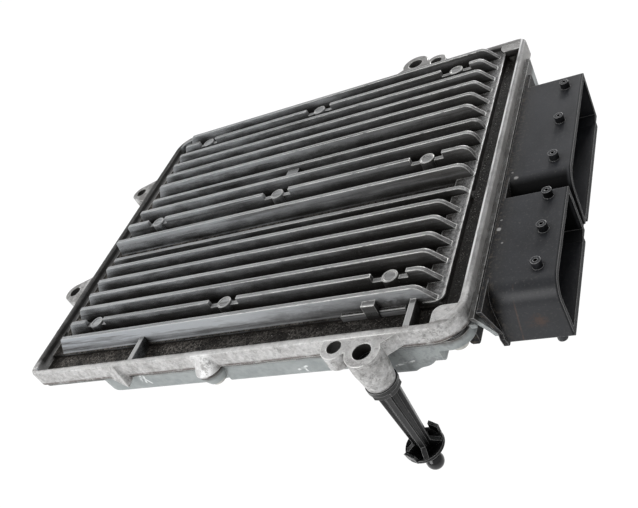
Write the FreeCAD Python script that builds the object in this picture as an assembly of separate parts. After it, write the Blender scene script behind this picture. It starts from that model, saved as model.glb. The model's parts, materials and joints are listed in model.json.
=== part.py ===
"""Engine control unit: finned die-cast cover, base pan, twin connector header, circuit board, ball-ended leg.

Working frame, in millimetres: X runs along the fins towards the connectors, Y from the front wall to the
back wall, Z up. Zero is the cover's front left outer corner, in the plane where cover and base pan meet.
At the end everything is moved so that the origin is the foot of the front screw hole, which is the
hole that fixes the unit.
"""
import FreeCAD
import Part
import math
import os

V = FreeCAD.Vector

# cover: fins
fin_pitch = 10.0              # the six front and the six back fins
middle_fin_pitch = 11.6       # the five middle fins
fins_each_side = 6
middle_fins = 5
fin_top = 13.5                # height of a full fin above the joint plane
middle_fin_drop = (4.0, 0.5, -0.5, 0.0, 1.5)    # how far each middle fin stays below that, front to back
fin_top_width = 2.0
fin_draft = 2.5               # degrees each side
fin_foot_radius = 1.2
fin_slope_run = 6.0           # the end of a side fin slopes out this far
middle_end_run = 2.0          # the middle fins end almost upright
middle_fin_reach = 6.0        # and run this much further to the right
middle_left_reach = (5.3, 7.7, 5.0, 2.6, 0.2)   # and this much further to the left, front to back
fin_bend_radius = 5.0

# cover: housing
left_margin = 17.0            # outer face to the first fin's top corner
fin_length = 197.5
right_margin = 19.5
front_channel = 17.8          # outer face to the first fin's middle
back_channel = 9.9
wall = 3.0
rim_height = 8.5
corner_front_left = 6.0
corner_back_left = 12.0
corner_back_right = 5.0
corner_front_right = 15.0
deck_height = 4.0             # floor between the fins
channel_height = 2.5          # floor of the front channel and the right trough
plateau_height = 6.0          # raised strip where the fins end on the right
trough_width = 8.0
floor_thickness = 2.5
channel_floor_thickness = 1.8
land_width = 5.0              # flat sealing face round the underside

# cover: round lands on fins
land_radius = 3.5
land_dish = 0.3                # ejector mark in its top
land_drop = 1.8               # below the fin top
land_notch_half = 8.0
land_notch_drop = 3.0
land_end_gap = 34.0             # outer lands from the cover's ends

# cover: small cast features
web_thickness = 2.6
web_left = 69.5
web_from_right = 22.5
ledge_from_right = 56.0
ledge_length = 29.6
ledge_width = 2.2
ledge_height = 3.6
block_from_right = 44.0
block_length = 6.0
block_depth = 3.0
corner_pad = 13.0
pad_drop = 0.5
wedge_start = 50.0
wedge_length = 15.0
wedge_depth = 4.0
wedge_below = 3.5
rim_rounding = 1.0
bridge_length = 7.0

# lugs and legs
hole_radius = 3.25
leg_hole_radius = 4.0
lug_radius = 6.0
lug_thickness = 7.0
lug_drop = 0.5
left_lug_out = 7.7
left_lug_pitch = 85.8
left_lug_base = 21.0
pair_from_right = 51.8
pair_small_out = 3.6
pair_big_offset = 13.4
pair_big_out = 7.4
leg_boss_radius = 7.5
leg_boss_depth = 9.0
leg_boss_draft = 6.5

# cover screws
screw_boss_radius = 7.0
screw_boss_depth = 6.5
screw_radius = 2.0
screw_head_radius = 3.6
screw_head_height = 2.0
screw_thread_gap = 0.1
screw_hole_gap = 0.6
head_relief = 0.6             # free space round a head where it stands beside the pan's wall
ear_thickness = 4.4
ear_foot_radius = 4.6
screw_boss_top_radius = 5.4
front_screw_offset = 4.5       # screws in the long walls, left of the middle
corner_screw_inset = 8.0
left_screw_inset = 3.0
left_bump_places = (29.6, 162.0)

# sealing bead
bead_height = 0.8
bead_width = 2.4
bead_inset = 1.0

# base pan
pan_inset = 1.4
pan_flange = 1.8
pan_wall = 2.0
pan_depth = 13.5
pan_left = 38.0
pan_front = 1.6
pan_draft = 3.0
pan_corner = 9.0
pan_edge_radius = 3.0
well_depth = 18.8
well_from_right = 43.0
well_step = 15.0
well_corner = 5.0
capacitor_inset = 11.0            # middle of the cans from the well's left wall
well_slope = ((17.5, 18.8), (14.0, 17.2), (11.0, 15.3), (8.0, 14.6), (5.4, 13.4), (3.0, 11.2), (0.6, 7.4))
shallow_depth = 6.4           # the pan beside the well, under the right-hand corners
well_shoulder = 22.0
end_plate = 2.0
end_plate_gap = 0.3
end_plate_top = 4.6
end_plate_front = 6.0
end_plate_back = 180.8
end_plate_knee = (9.2, 17.4)   # its front edge slants by this, this far down
end_plate_lean = 12.0
pan_notches = (31.0, 62.0, 142.5)
notch_length = 14.5
notch_height = 1.2
window_margin = 3.0

# connector header
header_gap = 0.5
clip_from_right = 7.8
clip_front = 13.0
clip_size = (4.1, 7.0)
clip_depth = 16.6
flange_thickness = 2.0
flange_front_inset = 2.7
flange_tab = (4.0, 2.0)        # rounded foot of the flange's front edge: width and depth
flange_back = 165.5
header_top = 4.4
header_height = 25.6
flange_lean = 7.2
shroud_length = 25.8
shroud_wall = 2.0
shroud_floor = 3.0
front_shroud_start = 15.8
front_shroud_width = 55.2
front_shroud_lean = 1.6        # how far the top stands further back than the foot
back_shroud_width = 76.2
back_shroud_lean = 3.8
shroud_gap = 3.4
shroud_fillet = 9.5
key_cut_width = 5.4             # the cut lower back corner
key_cut_height = 1.8
key_notch = 1.5
cavity_depth = 22.0
post_radius = 2.0
post_height = 3.2
post_hole = 0.75
post_setback = 7.2
post_pitch_back = 26.4
post_pitch_front = 19.8
post_offset = 4.2
seal_margin = 1.6

# contacts
pin_pitch = 4.0
pin_rows = 3
pin_size = 0.8
pin_reach = 11.0
pin_margin = 11.0             # first pin from the shroud's inner wall
blade_width = 3.2
blade_thickness = 1.0
blade_pitch = 6.0
blades_each = 3
power_share = 20.0            # width of each connector kept for the power blades

# circuit board and what it carries
board_thickness = 1.6
board_top = -1.8
board_margin = 4.0
board_screw_radius = 1.5
board_screw_head = 2.8
pillar_radius = 4.0

# leg
leg_fit = 0.05
collar_radius = 7.2
collar_height = 5.0
collar_ring = 2.0
shank_length = 39.4
shank_top_radius = 5.2
shank_end_radius = 3.4
rib_thickness = 2.2
cup_radius = 8.8
cup_height = 4.0
cup_wall = 1.4
tab_height = 4.2
tab_width = 5.4
ball_radius = 4.0
ball_drop = 6.7              # ball's middle below the cup
neck_radius = 2.2

# places that follow from the sizes above
cover_length = left_margin + fin_length + right_margin
side_span = (fins_each_side - 1) * fin_pitch
middle_span = (middle_fins + 1) * middle_fin_pitch
first_fin = front_channel
cover_width = front_channel + 2 * side_span + middle_span + back_channel
middle_line = first_fin + side_span + middle_span / 2
fin_right = left_margin + fin_length
pair_small_x = cover_length - pair_from_right
middle_x = cover_length / 2
land_columns = (land_end_gap, middle_x - 1.0, cover_length - land_end_gap)
web_places = (web_left, cover_length - web_from_right)
ledge_start = cover_length - ledge_from_right
block_start = cover_length - block_from_right
well_left = cover_length - well_from_right
well_right_front = cover_length - well_step
trough_right = cover_length - wall
plateau_right = trough_right - trough_width
deck_front = first_fin - fin_top_width / 2 - 1.0
deck_underside = deck_height - floor_thickness
lug_top = rim_height - lug_drop
lug_foot = lug_top - lug_thickness
fin_places = ([first_fin + i * fin_pitch for i in range(fins_each_side)]
              + [first_fin + side_span + (i + 1) * middle_fin_pitch for i in range(middle_fins)]
              + [first_fin + side_span + middle_span + i * fin_pitch for i in range(fins_each_side)])
land_rows = (fin_places[1], fin_places[8], fin_places[-2])
pan_top = -bead_height
pan_flange_foot = pan_top - pan_flange
ear_foot = pan_flange_foot - ear_thickness
plate_x = cover_length + end_plate_gap
flange_x = plate_x + end_plate + header_gap
shroud_x = flange_x + flange_thickness
mouth_x = shroud_x + shroud_length
header_foot = header_top - header_height
back_shroud_start = front_shroud_start + front_shroud_width + shroud_gap
cavity_x = mouth_x - cavity_depth
board_foot = board_top - board_thickness
board_left = pan_left + pan_wall + board_margin
board_right = cover_length - land_width - 3.0
board_front = pan_front + pan_wall + board_margin + 1.0
board_back = cover_width - board_front
leg_x = pair_small_x + pair_big_offset
leg_y = -pair_big_out
leg_boss_foot = -leg_boss_depth
origin = V(pair_small_x, -pair_small_out, lug_foot)


def box(x0, x1, y0, y1, z0, z1):
    return Part.makeBox(x1 - x0, y1 - y0, z1 - z0, V(x0, y0, z0))


def rod(x, y, z0, z1, radius):
    return Part.makeCylinder(radius, z1 - z0, V(x, y, z0))


def prism(points, direction):
    """A straight solid from a closed outline of corner points."""
    return Part.Face(Part.makePolygon(points + points[:1])).extrude(direction)


def rounded_outline(x0, x1, y0, y1, radii, z):
    """A rectangle with its own radius at each corner: front left, front right, back right, back left."""
    fl, fr, br, bl = radii
    corners = ((x1 - fr, y0 + fr, fr, -90), (x1 - br, y1 - br, br, 0),
               (x0 + bl, y1 - bl, bl, 90), (x0 + fl, y0 + fl, fl, 180))
    arcs = [Part.Arc(Part.Circle(V(x, y, z), V(0, 0, 1), r), math.radians(a), math.radians(a + 90)).toShape()
            for x, y, r, a in corners]
    edges = []
    for arc, following in zip(arcs, arcs[1:] + arcs[:1]):
        edges += [arc, Part.makeLine(arc.lastVertex().Point, following.firstVertex().Point)]
    return Part.Wire(Part.__sortEdges__(edges))


def rounded_block(x0, x1, y0, y1, z0, z1, radii):
    return Part.Face(rounded_outline(x0, x1, y0, y1, radii, z0)).extrude(V(0, 0, z1 - z0))


def cover_radii(inset):
    radii = (corner_front_left, corner_front_right, corner_back_right, corner_back_left)
    return [max(r - inset, 0.8) for r in radii]


def cover_block(inset, z0, z1):
    """The cover's own outline, moved in by inset."""
    return rounded_block(inset, cover_length - inset, inset, cover_width - inset, z0, z1, cover_radii(inset))


def drafted_block(x0, x1, y0, y1, z_top, z_foot, radius, draft, foot_round=0):
    """A block whose walls lean in towards its foot."""
    lean = (z_top - z_foot) * math.tan(math.radians(draft))
    top = rounded_outline(x0, x1, y0, y1, [radius] * 4, z_top)
    foot = rounded_outline(x0 + lean, x1 - lean, y0 + lean, y1 - lean, [radius - lean / 2] * 4, z_foot)
    block = Part.makeLoft([top, foot], True, True)
    if foot_round:
        block = block.makeFillet(foot_round, [e for e in block.Edges if e.BoundBox.ZMax < z_foot + 0.01])
    return block


def smooth(shape):
    """One solid with the seams between coplanar faces taken out."""
    joined = shape.copy().removeSplitter()
    return joined if joined.isValid() else shape


def as_one(shapes):
    """All the shapes joined, one after the other."""
    joined = shapes[0]
    for shape in shapes[1:]:
        joined = joined.fuse(shape)
    return joined


def fin_section(y, top, x0, x1):
    """A fin's drafted section with flared feet, run along X."""
    half = fin_top_width / 2
    lean = math.tan(math.radians(fin_draft))
    flare_z = deck_height + fin_foot_radius
    low_half = half + (top - flare_z) * lean
    foot_half = low_half + fin_foot_radius
    root = deck_height - 0.5
    bend = fin_foot_radius * (1 - math.sqrt(0.5))

    def arc(side):
        return Part.Arc(V(x0, y + side * low_half, flare_z),
                        V(x0, y + side * (low_half + bend), flare_z - fin_foot_radius + bend),
                        V(x0, y + side * foot_half, deck_height)).toShape()

    left, right = arc(-1), arc(1)
    path = [V(x0, y - low_half, flare_z), V(x0, y - half, top), V(x0, y + half, top), V(x0, y + low_half, flare_z)]
    foot = [V(x0, y + foot_half, deck_height), V(x0, y + foot_half, root),
            V(x0, y - foot_half, root), V(x0, y - foot_half, deck_height)]
    edges = [left, Part.makePolygon(path), right, Part.makePolygon(foot)]
    wire = Part.Wire(Part.__sortEdges__([e for part in edges for e in part.Edges]))
    return Part.Face(wire).extrude(V(x1 - x0, 0, 0))


def fin_profile(y, top, left, right, left_run, right_run, right_foot):
    """A fin's side view: sloped ends with rounded bends."""
    root = deck_height - 0.5
    left_slope = left_run / (top - deck_height)
    right_slope = right_run / (top - right_foot)
    points = [V(left - left_slope * (top - root), y, root), V(left, y, top), V(right, y, top),
              V(right + right_slope * (top - root), y, root)]
    face = Part.Face(Part.makePolygon(points + points[:1]))
    solid = face.extrude(V(0, 2 * fin_pitch, 0))
    bends = [e for e in solid.Edges
             if abs(e.tangentAt(e.FirstParameter).y) > 0.9 and e.BoundBox.ZMin > top - 0.01]
    solid = solid.makeFillet(fin_bend_radius, [e for e in bends if e.BoundBox.XMin > right - 0.5])
    near = [e for e in solid.Edges
            if abs(e.tangentAt(e.FirstParameter).y) > 0.9 and e.BoundBox.ZMin > top - 0.01
            and e.BoundBox.XMax < left + 0.5]
    solid = solid.makeFillet(1.2, near)
    solid.translate(V(0, -fin_pitch, 0))
    return solid


def fin(index):
    y = fin_places[index]
    middle = index - fins_each_side
    if 0 <= middle < middle_fins:
        top = fin_top - middle_fin_drop[middle]
        left = left_margin - middle_left_reach[middle]
        left_run = middle_end_run if middle_left_reach[middle] > 1.0 else fin_slope_run
        profile = fin_profile(y, top, left, fin_right + middle_fin_reach, left_run, middle_end_run, plateau_height)
    else:
        top = fin_top
        left = left_margin
        profile = fin_profile(y, top, left, fin_right, fin_slope_run, fin_slope_run, plateau_height)
    bar = fin_section(y, top, wall, trough_right)
    solid = bar.common(profile)
    if y in land_rows:
        for x in land_columns:
            half = land_notch_half if x > left_margin + 2 * land_notch_half + 2 else land_notch_half * 0.8
            solid = solid.cut(box(x - half, x + half, y - fin_pitch / 2, y + fin_pitch / 2,
                                  top - land_notch_drop, fin_top + 5))
    return solid


def tangent_lug(x, y, radius, base_a, base_b, z0, z1):
    """A lug round a hole at x, y, with straight sides to two points on the wall."""
    centre = V(x, y, 0)

    def touch(base, side):
        reach = base.sub(centre)
        angle = math.atan2(reach.y, reach.x) + side * math.acos(radius / reach.Length)
        return centre.add(V(radius * math.cos(angle), radius * math.sin(angle), 0))

    a, b = V(*base_a, 0), V(*base_b, 0)
    web = prism([V(p.x, p.y, z0) for p in (a, touch(a, -1), touch(b, 1), b)], V(0, 0, z1 - z0))
    return web.fuse(rod(x, y, z0, z1, radius))


def pair_lug(wall_y, out, towards_right):
    """The double lug on the front or back wall: a screw hole and a leg boss side by side."""
    small = (pair_small_x, wall_y + out * pair_small_out)
    big_x = pair_small_x + towards_right * pair_big_offset
    big = (big_x, wall_y + out * pair_big_out)
    inner = wall_y - out * wall
    shapes = [rod(small[0], small[1], lug_foot, lug_top, lug_radius),
              rod(big[0], big[1], lug_foot, lug_top, leg_boss_radius)]
    near = small[0] - towards_right * lug_radius
    far = big[0] + towards_right * (leg_boss_radius + 5.0)
    outline = [V(near, inner, lug_foot), V(near, small[1], lug_foot),
               V(small[0], small[1] + out * lug_radius * 0.55, lug_foot), V(big[0], big[1], lug_foot),
               V(big[0] + towards_right * leg_boss_radius * 0.9, big[1] - out * leg_boss_radius * 0.4, lug_foot),
               V(far, wall_y, lug_foot), V(far, inner, lug_foot)]
    shapes.append(prism(outline, V(0, 0, lug_thickness)))
    boss_drop = lug_foot - leg_boss_foot
    foot_radius = leg_boss_radius - boss_drop * math.tan(math.radians(leg_boss_draft))
    shapes.append(Part.makeCone(foot_radius, leg_boss_radius, boss_drop, V(big[0], big[1], leg_boss_foot)))
    holes = [rod(small[0], small[1], lug_foot - 1, rim_height + 1, hole_radius),
             rod(big[0], big[1], leg_boss_foot - 1, rim_height + 1, leg_hole_radius)]
    return shapes, holes


def cover_screw_places():
    """Where the cover screws go: front, back, two on the left and the two right-hand corners."""
    x = middle_x - front_screw_offset
    right = cover_length - corner_screw_inset
    return ([(x, 1.0), (x, cover_width - 1.0)] + [(left_screw_inset, y) for y in left_bump_places]
            + [(right, corner_screw_inset - 1), (right, cover_width - corner_screw_inset)])


def screw_boss(x, y):
    """A boss on the wall that leans back from a wide foot to the rim."""
    inset = screw_boss_top_radius - 0.3
    top = V(min(max(x, inset), cover_length - inset), min(max(y, inset), cover_width - inset), rim_height - pad_drop)
    rings = [Part.makeCircle(screw_boss_radius, V(x, y, 0)), Part.makeCircle(screw_boss_top_radius, top)]
    boss = Part.makeLoft([Part.Wire(ring) for ring in rings], True, True)
    if x > cover_length - corner_pad:
        boss = boss.common(cover_block(0, 0, rim_height))
    return boss


def finned_cover():
    shell = cover_block(0, 0, rim_height)
    pocket = cover_block(wall, channel_height, rim_height + 1)
    body = shell.cut(pocket)
    body = body.makeFillet(rim_rounding, [e for e in body.Edges if e.BoundBox.ZMin > rim_height - 0.01])
    deck = box(wall, plateau_right, deck_front, cover_width - wall, channel_height, deck_height)
    plateau = box(fin_right, plateau_right, deck_front, cover_width - wall, channel_height, plateau_height)
    plateau = plateau.makeFillet(4.0, [e for e in plateau.Edges if abs(e.tangentAt(0).z) > 0.9
                                       and e.BoundBox.XMin > plateau_right - 1 and e.BoundBox.YMax < deck_front + 1])
    solids = [deck, plateau] + [fin(i) for i in range(len(fin_places))]

    for row, y in enumerate(land_rows):
        drop = (0.0, middle_fin_drop[2], 0.0)[row]
        for x in land_columns:
            top = fin_top - drop - land_drop
            land = Part.makeCone(land_radius + 0.6, land_radius, top - deck_height + 0.5, V(x, y, deck_height - 0.5))
            solids.append(land.cut(rod(x, y, top - land_dish, top + 1, land_radius - 0.8)))

    for x in web_places:
        solids.append(box(x - web_thickness / 2, x + web_thickness / 2, wall - 0.5, first_fin,
                          channel_height - 0.5, rim_height - 0.3))
    face = first_fin - fin_top_width / 2
    solids.append(box(ledge_start, ledge_start + ledge_length, face - ledge_width, face + 0.5,
                      channel_height - 0.5, ledge_height))
    solids.append(box(block_start, block_start + block_length, face - block_depth, face + 0.5,
                      channel_height - 0.5, fin_top - 3.2))
    bridge_y = (fin_places[9], fin_places[10])
    solids.append(box(middle_x - bridge_length / 2, middle_x + bridge_length / 2, bridge_y[0], bridge_y[1],
                      deck_height - 0.5, fin_top - 3.5))

    for y0, y1 in ((0, corner_pad - 1.5), (cover_width - corner_pad * 0.7, cover_width)):
        pad = rounded_block(cover_length - corner_pad, cover_length, y0, y1, channel_height - 0.5,
                            rim_height - pad_drop, [4.0] * 4)
        solids.append(pad.common(cover_block(0.5, 0, rim_height)))

    crest = wedge_start + wedge_length * 0.7
    wall_points = [V(crest - 2, 0.5, rim_height - 0.1), V(crest + 1, 0.5, rim_height - 0.1),
                   V(wedge_start + wedge_length, 0.5, -2.0), V(wedge_start, 0.5, 0.8)]
    ridge, tip = V(crest, -0.8, rim_height - 0.5), V(wedge_start + wedge_length - 1, -wedge_depth, -wedge_below)
    upper_left, upper_right, low_right, low_left = wall_points
    sides = [(upper_left, upper_right, ridge), (upper_right, low_right, ridge), (low_right, tip, ridge),
             (low_right, low_left, tip), (low_left, ridge, tip), (low_left, upper_left, ridge)]
    for flip in (0, 1):
        faces = [Part.Face(Part.makePolygon(wall_points + wall_points[:1]))]
        for a, b, c in sides:
            faces.append(Part.Face(Part.makePolygon([a, b, c, a])))
        rib = Part.makeSolid(Part.makeShell(faces))
        if rib.Volume < 0:
            rib.reverse()
        if flip:
            rib = rib.mirror(V(0, cover_width / 2, 0), V(0, 1, 0))
        solids.append(rib)

    holes = []
    for side in (-1, 1):
        y = middle_line + side * left_lug_pitch / 2
        half = left_lug_base / 2
        solids.append(tangent_lug(-left_lug_out, y, lug_radius, (1.0, y - half), (1.0, y + half), lug_foot, lug_top))
        holes.append(rod(-left_lug_out, y, lug_foot - 1, rim_height + 1, hole_radius))
    for wall_y, out, towards in ((0, -1, 1), (cover_width, 1, -1)):
        shapes, bores = pair_lug(wall_y, out, towards)
        solids += shapes
        holes += bores

    body = body.fuse(solids)
    low = cover_block(land_width, -1, channel_height - channel_floor_thickness)
    high = rounded_block(left_margin - 9, plateau_right - 1, deck_front + 2, cover_width - land_width - 1,
                         -1, deck_underside, [3.0] * 4)
    hollow = low.fuse(high)
    for x, y in cover_screw_places():
        body = body.fuse(screw_boss(x, y).cut(pocket))
        hollow = hollow.cut(rod(x, y, -2, rim_height, screw_boss_radius))
        holes.append(rod(x, y, -1, screw_boss_depth - 1.5, screw_radius + screw_thread_gap))
    body = body.cut(hollow)
    for x, y in board_pillars():
        body = body.fuse(rod(x, y, board_top, deck_height - 0.5, pillar_radius))
        holes.append(rod(x, y, board_top - 1, deck_underside, board_screw_radius + screw_thread_gap))
    return body.cut(as_one(holes))


def board_pillars():
    return [(x, y) for x in land_columns[1:] for y in land_rows]


def sealing_bead():
    ring = cover_block(bead_inset, pan_top, 0).cut(cover_block(bead_inset + bead_width, pan_top - 1, 1))
    hole = screw_radius + screw_hole_gap
    eyes = [rod(x, y, pan_top, 0, hole + bead_width) for x, y in cover_screw_places()]
    ring = as_one([ring] + eyes)
    return ring.cut(as_one([rod(x, y, pan_top - 1, 1, hole) for x, y in cover_screw_places()]))


def base_tub(grow):
    """The pan's drafted tub with its deeper well; grow below zero gives the hollow inside."""
    back = cover_width - pan_front - 1.0
    right = cover_length - 1.0
    edge = pan_corner + grow / 2
    foot_round = pan_edge_radius if grow == 0 else 0
    tub = drafted_block(pan_left - grow, right + min(grow, 0), pan_front - grow, back + grow,
                        pan_top + (1 if grow < 0 else -0.5), -pan_depth - grow, edge, pan_draft, foot_round)
    well = drafted_block(well_left - grow, well_right_front + grow, pan_front + 0.4 - grow, back - 0.4 + grow,
                         -pan_depth + 6, -well_depth - grow, well_corner + grow / 2, pan_draft, foot_round)
    line = [V(well_right_front - x + grow, -5, -z - grow) for x, z in well_slope]
    curve = Part.BSplineCurve()
    curve.interpolate(line)
    low = -well_depth - 20
    outer = [line[-1], line[-1] + V(9, 0, 0), V(line[-1].x + 9, -5, low), V(line[0].x, -5, low), line[0]]
    edges = [curve.toShape()] + [Part.makeLine(a, b) for a, b in zip(outer, outer[1:])]
    slope = Part.Face(Part.Wire(Part.__sortEdges__(edges)))
    well = well.cut(slope.extrude(V(0, cover_width + 10, 0)))
    arm = drafted_block(well_left - grow, right + min(grow, 0), well_shoulder - grow,
                        cover_width - well_shoulder + grow, -pan_depth + 6, -well_depth - grow, edge, pan_draft,
                        foot_round)
    return tub, well, arm


def base_pan():
    flange = cover_block(pan_inset, pan_flange_foot, pan_top)
    tub, well, arm = base_tub(0)
    trim = box(well_right_front, cover_length + 5, -5, well_shoulder, -pan_depth - 5, -shallow_depth)
    trim = trim.fuse(box(well_right_front, cover_length + 5, cover_width - well_shoulder, cover_width + 5,
                         -pan_depth - 5, -shallow_depth))
    outside = tub.cut(trim).fuse([well, arm])
    ears = []
    for x, y in cover_screw_places():
        ear = rod(x, y, pan_flange_foot, pan_top, screw_boss_radius - 0.6)
        ear = ear.fuse(Part.makeCone(ear_foot_radius, screw_boss_radius - 0.6, ear_thickness, V(x, y, ear_foot)))
        if x > cover_length - corner_pad:
            ear = ear.common(cover_block(pan_inset, ear_foot, pan_top))
        ears.append(ear)
    shell = flange.fuse([outside] + ears)
    knee_y, knee_z = end_plate_knee
    plate_points = [V(plate_x, end_plate_front, end_plate_top), V(plate_x, end_plate_back, end_plate_top),
                    V(plate_x, end_plate_back - end_plate_lean / 3, -well_depth),
                    V(plate_x, end_plate_front + end_plate_lean, -well_depth),
                    V(plate_x, end_plate_front + knee_y, end_plate_top - knee_z)]
    plate = prism(plate_points, V(end_plate, 0, 0))
    bridge = box(cover_length - 4, plate_x + 0.5, end_plate_front + 2, end_plate_back - 4, pan_flange_foot, pan_top)
    arm_link = box(cover_length - 3, plate_x + 0.5, well_shoulder + 8, cover_width - well_shoulder - 8,
                   -well_depth + 1, pan_flange_foot + 0.2)
    shell = shell.fuse([plate, bridge, arm_link])
    inner_tub, inner_well, inner_arm = base_tub(-pan_wall)
    inner_trim = box(well_right_front - pan_wall, cover_length + 5, -5, well_shoulder + pan_wall,
                     -pan_depth - 5, pan_wall - shallow_depth)
    inner_trim = inner_trim.fuse(box(well_right_front - pan_wall, cover_length + 5,
                                     cover_width - well_shoulder - pan_wall, cover_width + 5,
                                     -pan_depth - 5, pan_wall - shallow_depth))
    hollow = inner_tub.cut(inner_trim).fuse([inner_well, inner_arm])
    relief = []
    for x, y in cover_screw_places():
        hollow = hollow.cut(rod(x, y, -well_depth - 1, pan_top + 2, screw_boss_radius))
        relief.append(rod(x, y, -well_depth - 1, ear_foot, screw_head_radius + head_relief))
    shell = shell.cut(hollow).cut(as_one(relief))
    y0, y1, z0, z1 = window()
    shell = shell.cut(box(cover_length - 12, plate_x + end_plate + 1, y0, y1, z0, z1))
    holes = [rod(x, y, ear_foot - 1, pan_top + 1, screw_radius + screw_hole_gap)
             for x, y in cover_screw_places()]
    holes += [box(x, x + notch_length, -1, pan_inset + 1.2, pan_top - notch_height, pan_top + 1) for x in pan_notches]
    return shell.cut(as_one(holes))


def window():
    """The opening in the pan's end plate that the header's plug fills: y and z limits."""
    return (well_shoulder + window_margin, back_shroud_end() - window_margin,
            -well_depth + pan_wall + 2.0, board_foot - 0.4)


def back_shroud_end():
    return back_shroud_start + back_shroud_width + back_shroud_lean


def shroud_wire(start, width, top_back, x, inset_side, inset_top, inset_foot):
    """A shroud's section: leaning walls, one large round at the top front corner, a cut bottom back corner."""
    lean = top_back / header_height
    z1 = header_top - inset_top
    z0 = header_foot + inset_foot
    front_low = start + (z0 - header_foot) * lean + inset_side
    front_high = start + (z1 - header_foot) * lean + inset_side
    back_low = start + width + (z0 - header_foot) * lean - inset_side
    back_high = start + width + (z1 - header_foot) * lean - inset_side
    points = [V(x, front_low, z0), V(x, back_low - key_cut_width, z0),
              V(x, back_low + key_cut_height * lean, z0 + key_cut_height),
              V(x, back_high, z1), V(x, front_high, z1)]
    return points, shroud_fillet - inset_side


def shroud_block(start, width, top_back, x0, x1, inset_side, inset_top, inset_foot):
    points, radius = shroud_wire(start, width, top_back, x0, inset_side, inset_top, inset_foot)
    solid = prism(points, V(x1 - x0, 0, 0))
    corner = points[-1]
    big = [e for e in solid.Edges if abs(e.tangentAt(0).x) > 0.9
           and abs(e.BoundBox.YMin - corner.y) < 0.01 and abs(e.BoundBox.ZMin - corner.z) < 0.01]
    solid = solid.makeFillet(radius, big)
    small = [e for e in solid.Edges if abs(e.tangentAt(e.FirstParameter).x) > 0.9
             and (abs(e.BoundBox.ZMin - points[0].z) < 0.01 and abs(e.BoundBox.YMin - points[0].y) < 0.01
                  or abs(e.BoundBox.YMin - points[3].y) < 0.01 and abs(e.BoundBox.ZMin - points[3].z) < 0.01)]
    return solid.makeFillet(1.0, small)


def shrouds():
    return ((front_shroud_start, front_shroud_width, front_shroud_lean, post_pitch_front),
            (back_shroud_start, back_shroud_width, back_shroud_lean, post_pitch_back))


def connector_header():
    flange_front = end_plate_front + flange_front_inset
    foot_front = flange_front + flange_lean
    tab_width, tab_depth = flange_tab
    flange_points = [V(flange_x, flange_front, header_top), V(flange_x, flange_back, header_top),
                     V(flange_x, flange_back - 2, header_foot + 1.5),
                     V(flange_x, foot_front + tab_width, header_foot + 1.5),
                     V(flange_x, foot_front + tab_width, header_foot - tab_depth),
                     V(flange_x, foot_front, header_foot - tab_depth),
                     V(flange_x, foot_front - 0.8, header_foot + 3.2), V(flange_x, foot_front, header_foot + 5.7)]
    body = prism(flange_points, V(flange_thickness, 0, 0))
    body = body.makeFillet(1.2, [e for e in body.Edges if e.BoundBox.ZMax < header_foot - tab_depth + 0.01
                                 and abs(e.tangentAt(0).x) > 0.9])
    y0, y1, z0, z1 = window()
    plug = box(cover_length - 8, flange_x + 0.5, y0 + 0.4, y1 - 0.4, z0 + 0.4, z1 - 0.4)
    parts = [plug]
    cavities = []
    for start, width, top_back, pitch in shrouds():
        parts.append(shroud_block(start, width, top_back, flange_x + 0.5, mouth_x, 0, 0, 0))
        cavities.append(shroud_block(start, width, top_back, cavity_x, mouth_x + 5,
                                     shroud_wall, shroud_wall, shroud_floor))
        middle = start + (width + top_back) / 2 + post_offset
        for i in (-1, 0, 1):
            parts.append(rod(mouth_x - post_setback, middle + i * pitch, header_top - 0.5,
                             header_top + post_height, post_radius))
            cavities.append(rod(mouth_x - post_setback, middle + i * pitch, header_top + post_height - 2.2,
                                header_top + post_height + 1, post_hole))
        back_low = start + width
        notch = box(mouth_x - key_notch, mouth_x + 5, back_low - key_cut_width + 0.8, back_low + 8,
                    header_foot - 1, header_foot + key_cut_height + 0.6)
        cavities.append(notch)
    parts.append(rod(mouth_x - 5.5, front_shroud_start + post_radius, header_foot - 2.0, header_foot + 1,
                     post_radius))
    body = body.fuse(parts)
    return body.cut(as_one(cavities))


def header_seal():
    """The flat gasket between the end plate and the header's flange."""
    y0, y1, z0, z1 = window()
    m = seal_margin
    outer = box(plate_x + end_plate, flange_x, y0 - m - 3, y1 + m + 3, z0 - m - 1.5, z1 + m + 1.5)
    return outer.cut(box(plate_x, flange_x + 1, y0 - m, y1 + m, z0 - m, z1 + m))


def pin_columns(start, width):
    inner = width - 2 * shroud_wall - power_share - 10
    count = int(inner / pin_pitch) + 1
    first = start + shroud_wall + pin_margin
    return [first + i * pin_pitch for i in range(count)]


def pin_heights():
    z0, z1 = window()[2:]
    middle = (z0 + z1) / 2
    return [middle + (i - (pin_rows - 1) / 2) * pin_pitch for i in range(pin_rows)]


def bent_contact(y, z, width, thickness, tip_x, row):
    """A contact that runs straight through the header and turns up into the board."""
    bend_x = board_right - 3.0 - row * 3.0
    half = thickness / 2
    level = box(bend_x - half, tip_x, y - width / 2, y + width / 2, z - half, z + half)
    riser = box(bend_x - half, bend_x + half, y - width / 2, y + width / 2, z - half, board_foot)
    bar = level.fuse(riser).removeSplitter()
    tip = [e for e in bar.Edges if e.BoundBox.XMin > tip_x - 0.01]
    return bar.makeChamfer(min(half, width / 2) * 0.5, tip)


def signal_contacts(start, width):
    heights = pin_heights()
    return Part.makeCompound([bent_contact(y, z, pin_size, pin_size, cavity_x + pin_reach, pin_rows - 1 - row)
                              for y in pin_columns(start, width) for row, z in enumerate(heights)])


def power_contacts(start, width):
    last = pin_columns(start, width)[-1]
    heights = pin_heights()
    blades = []
    for i in range(blades_each):
        y = last + pin_pitch / 2 + (i + 1) * blade_pitch - blade_width / 2
        blades.append(bent_contact(y, heights[1], blade_width, blade_thickness, cavity_x + pin_reach + 1, 1))
    return Part.makeCompound(blades)


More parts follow.
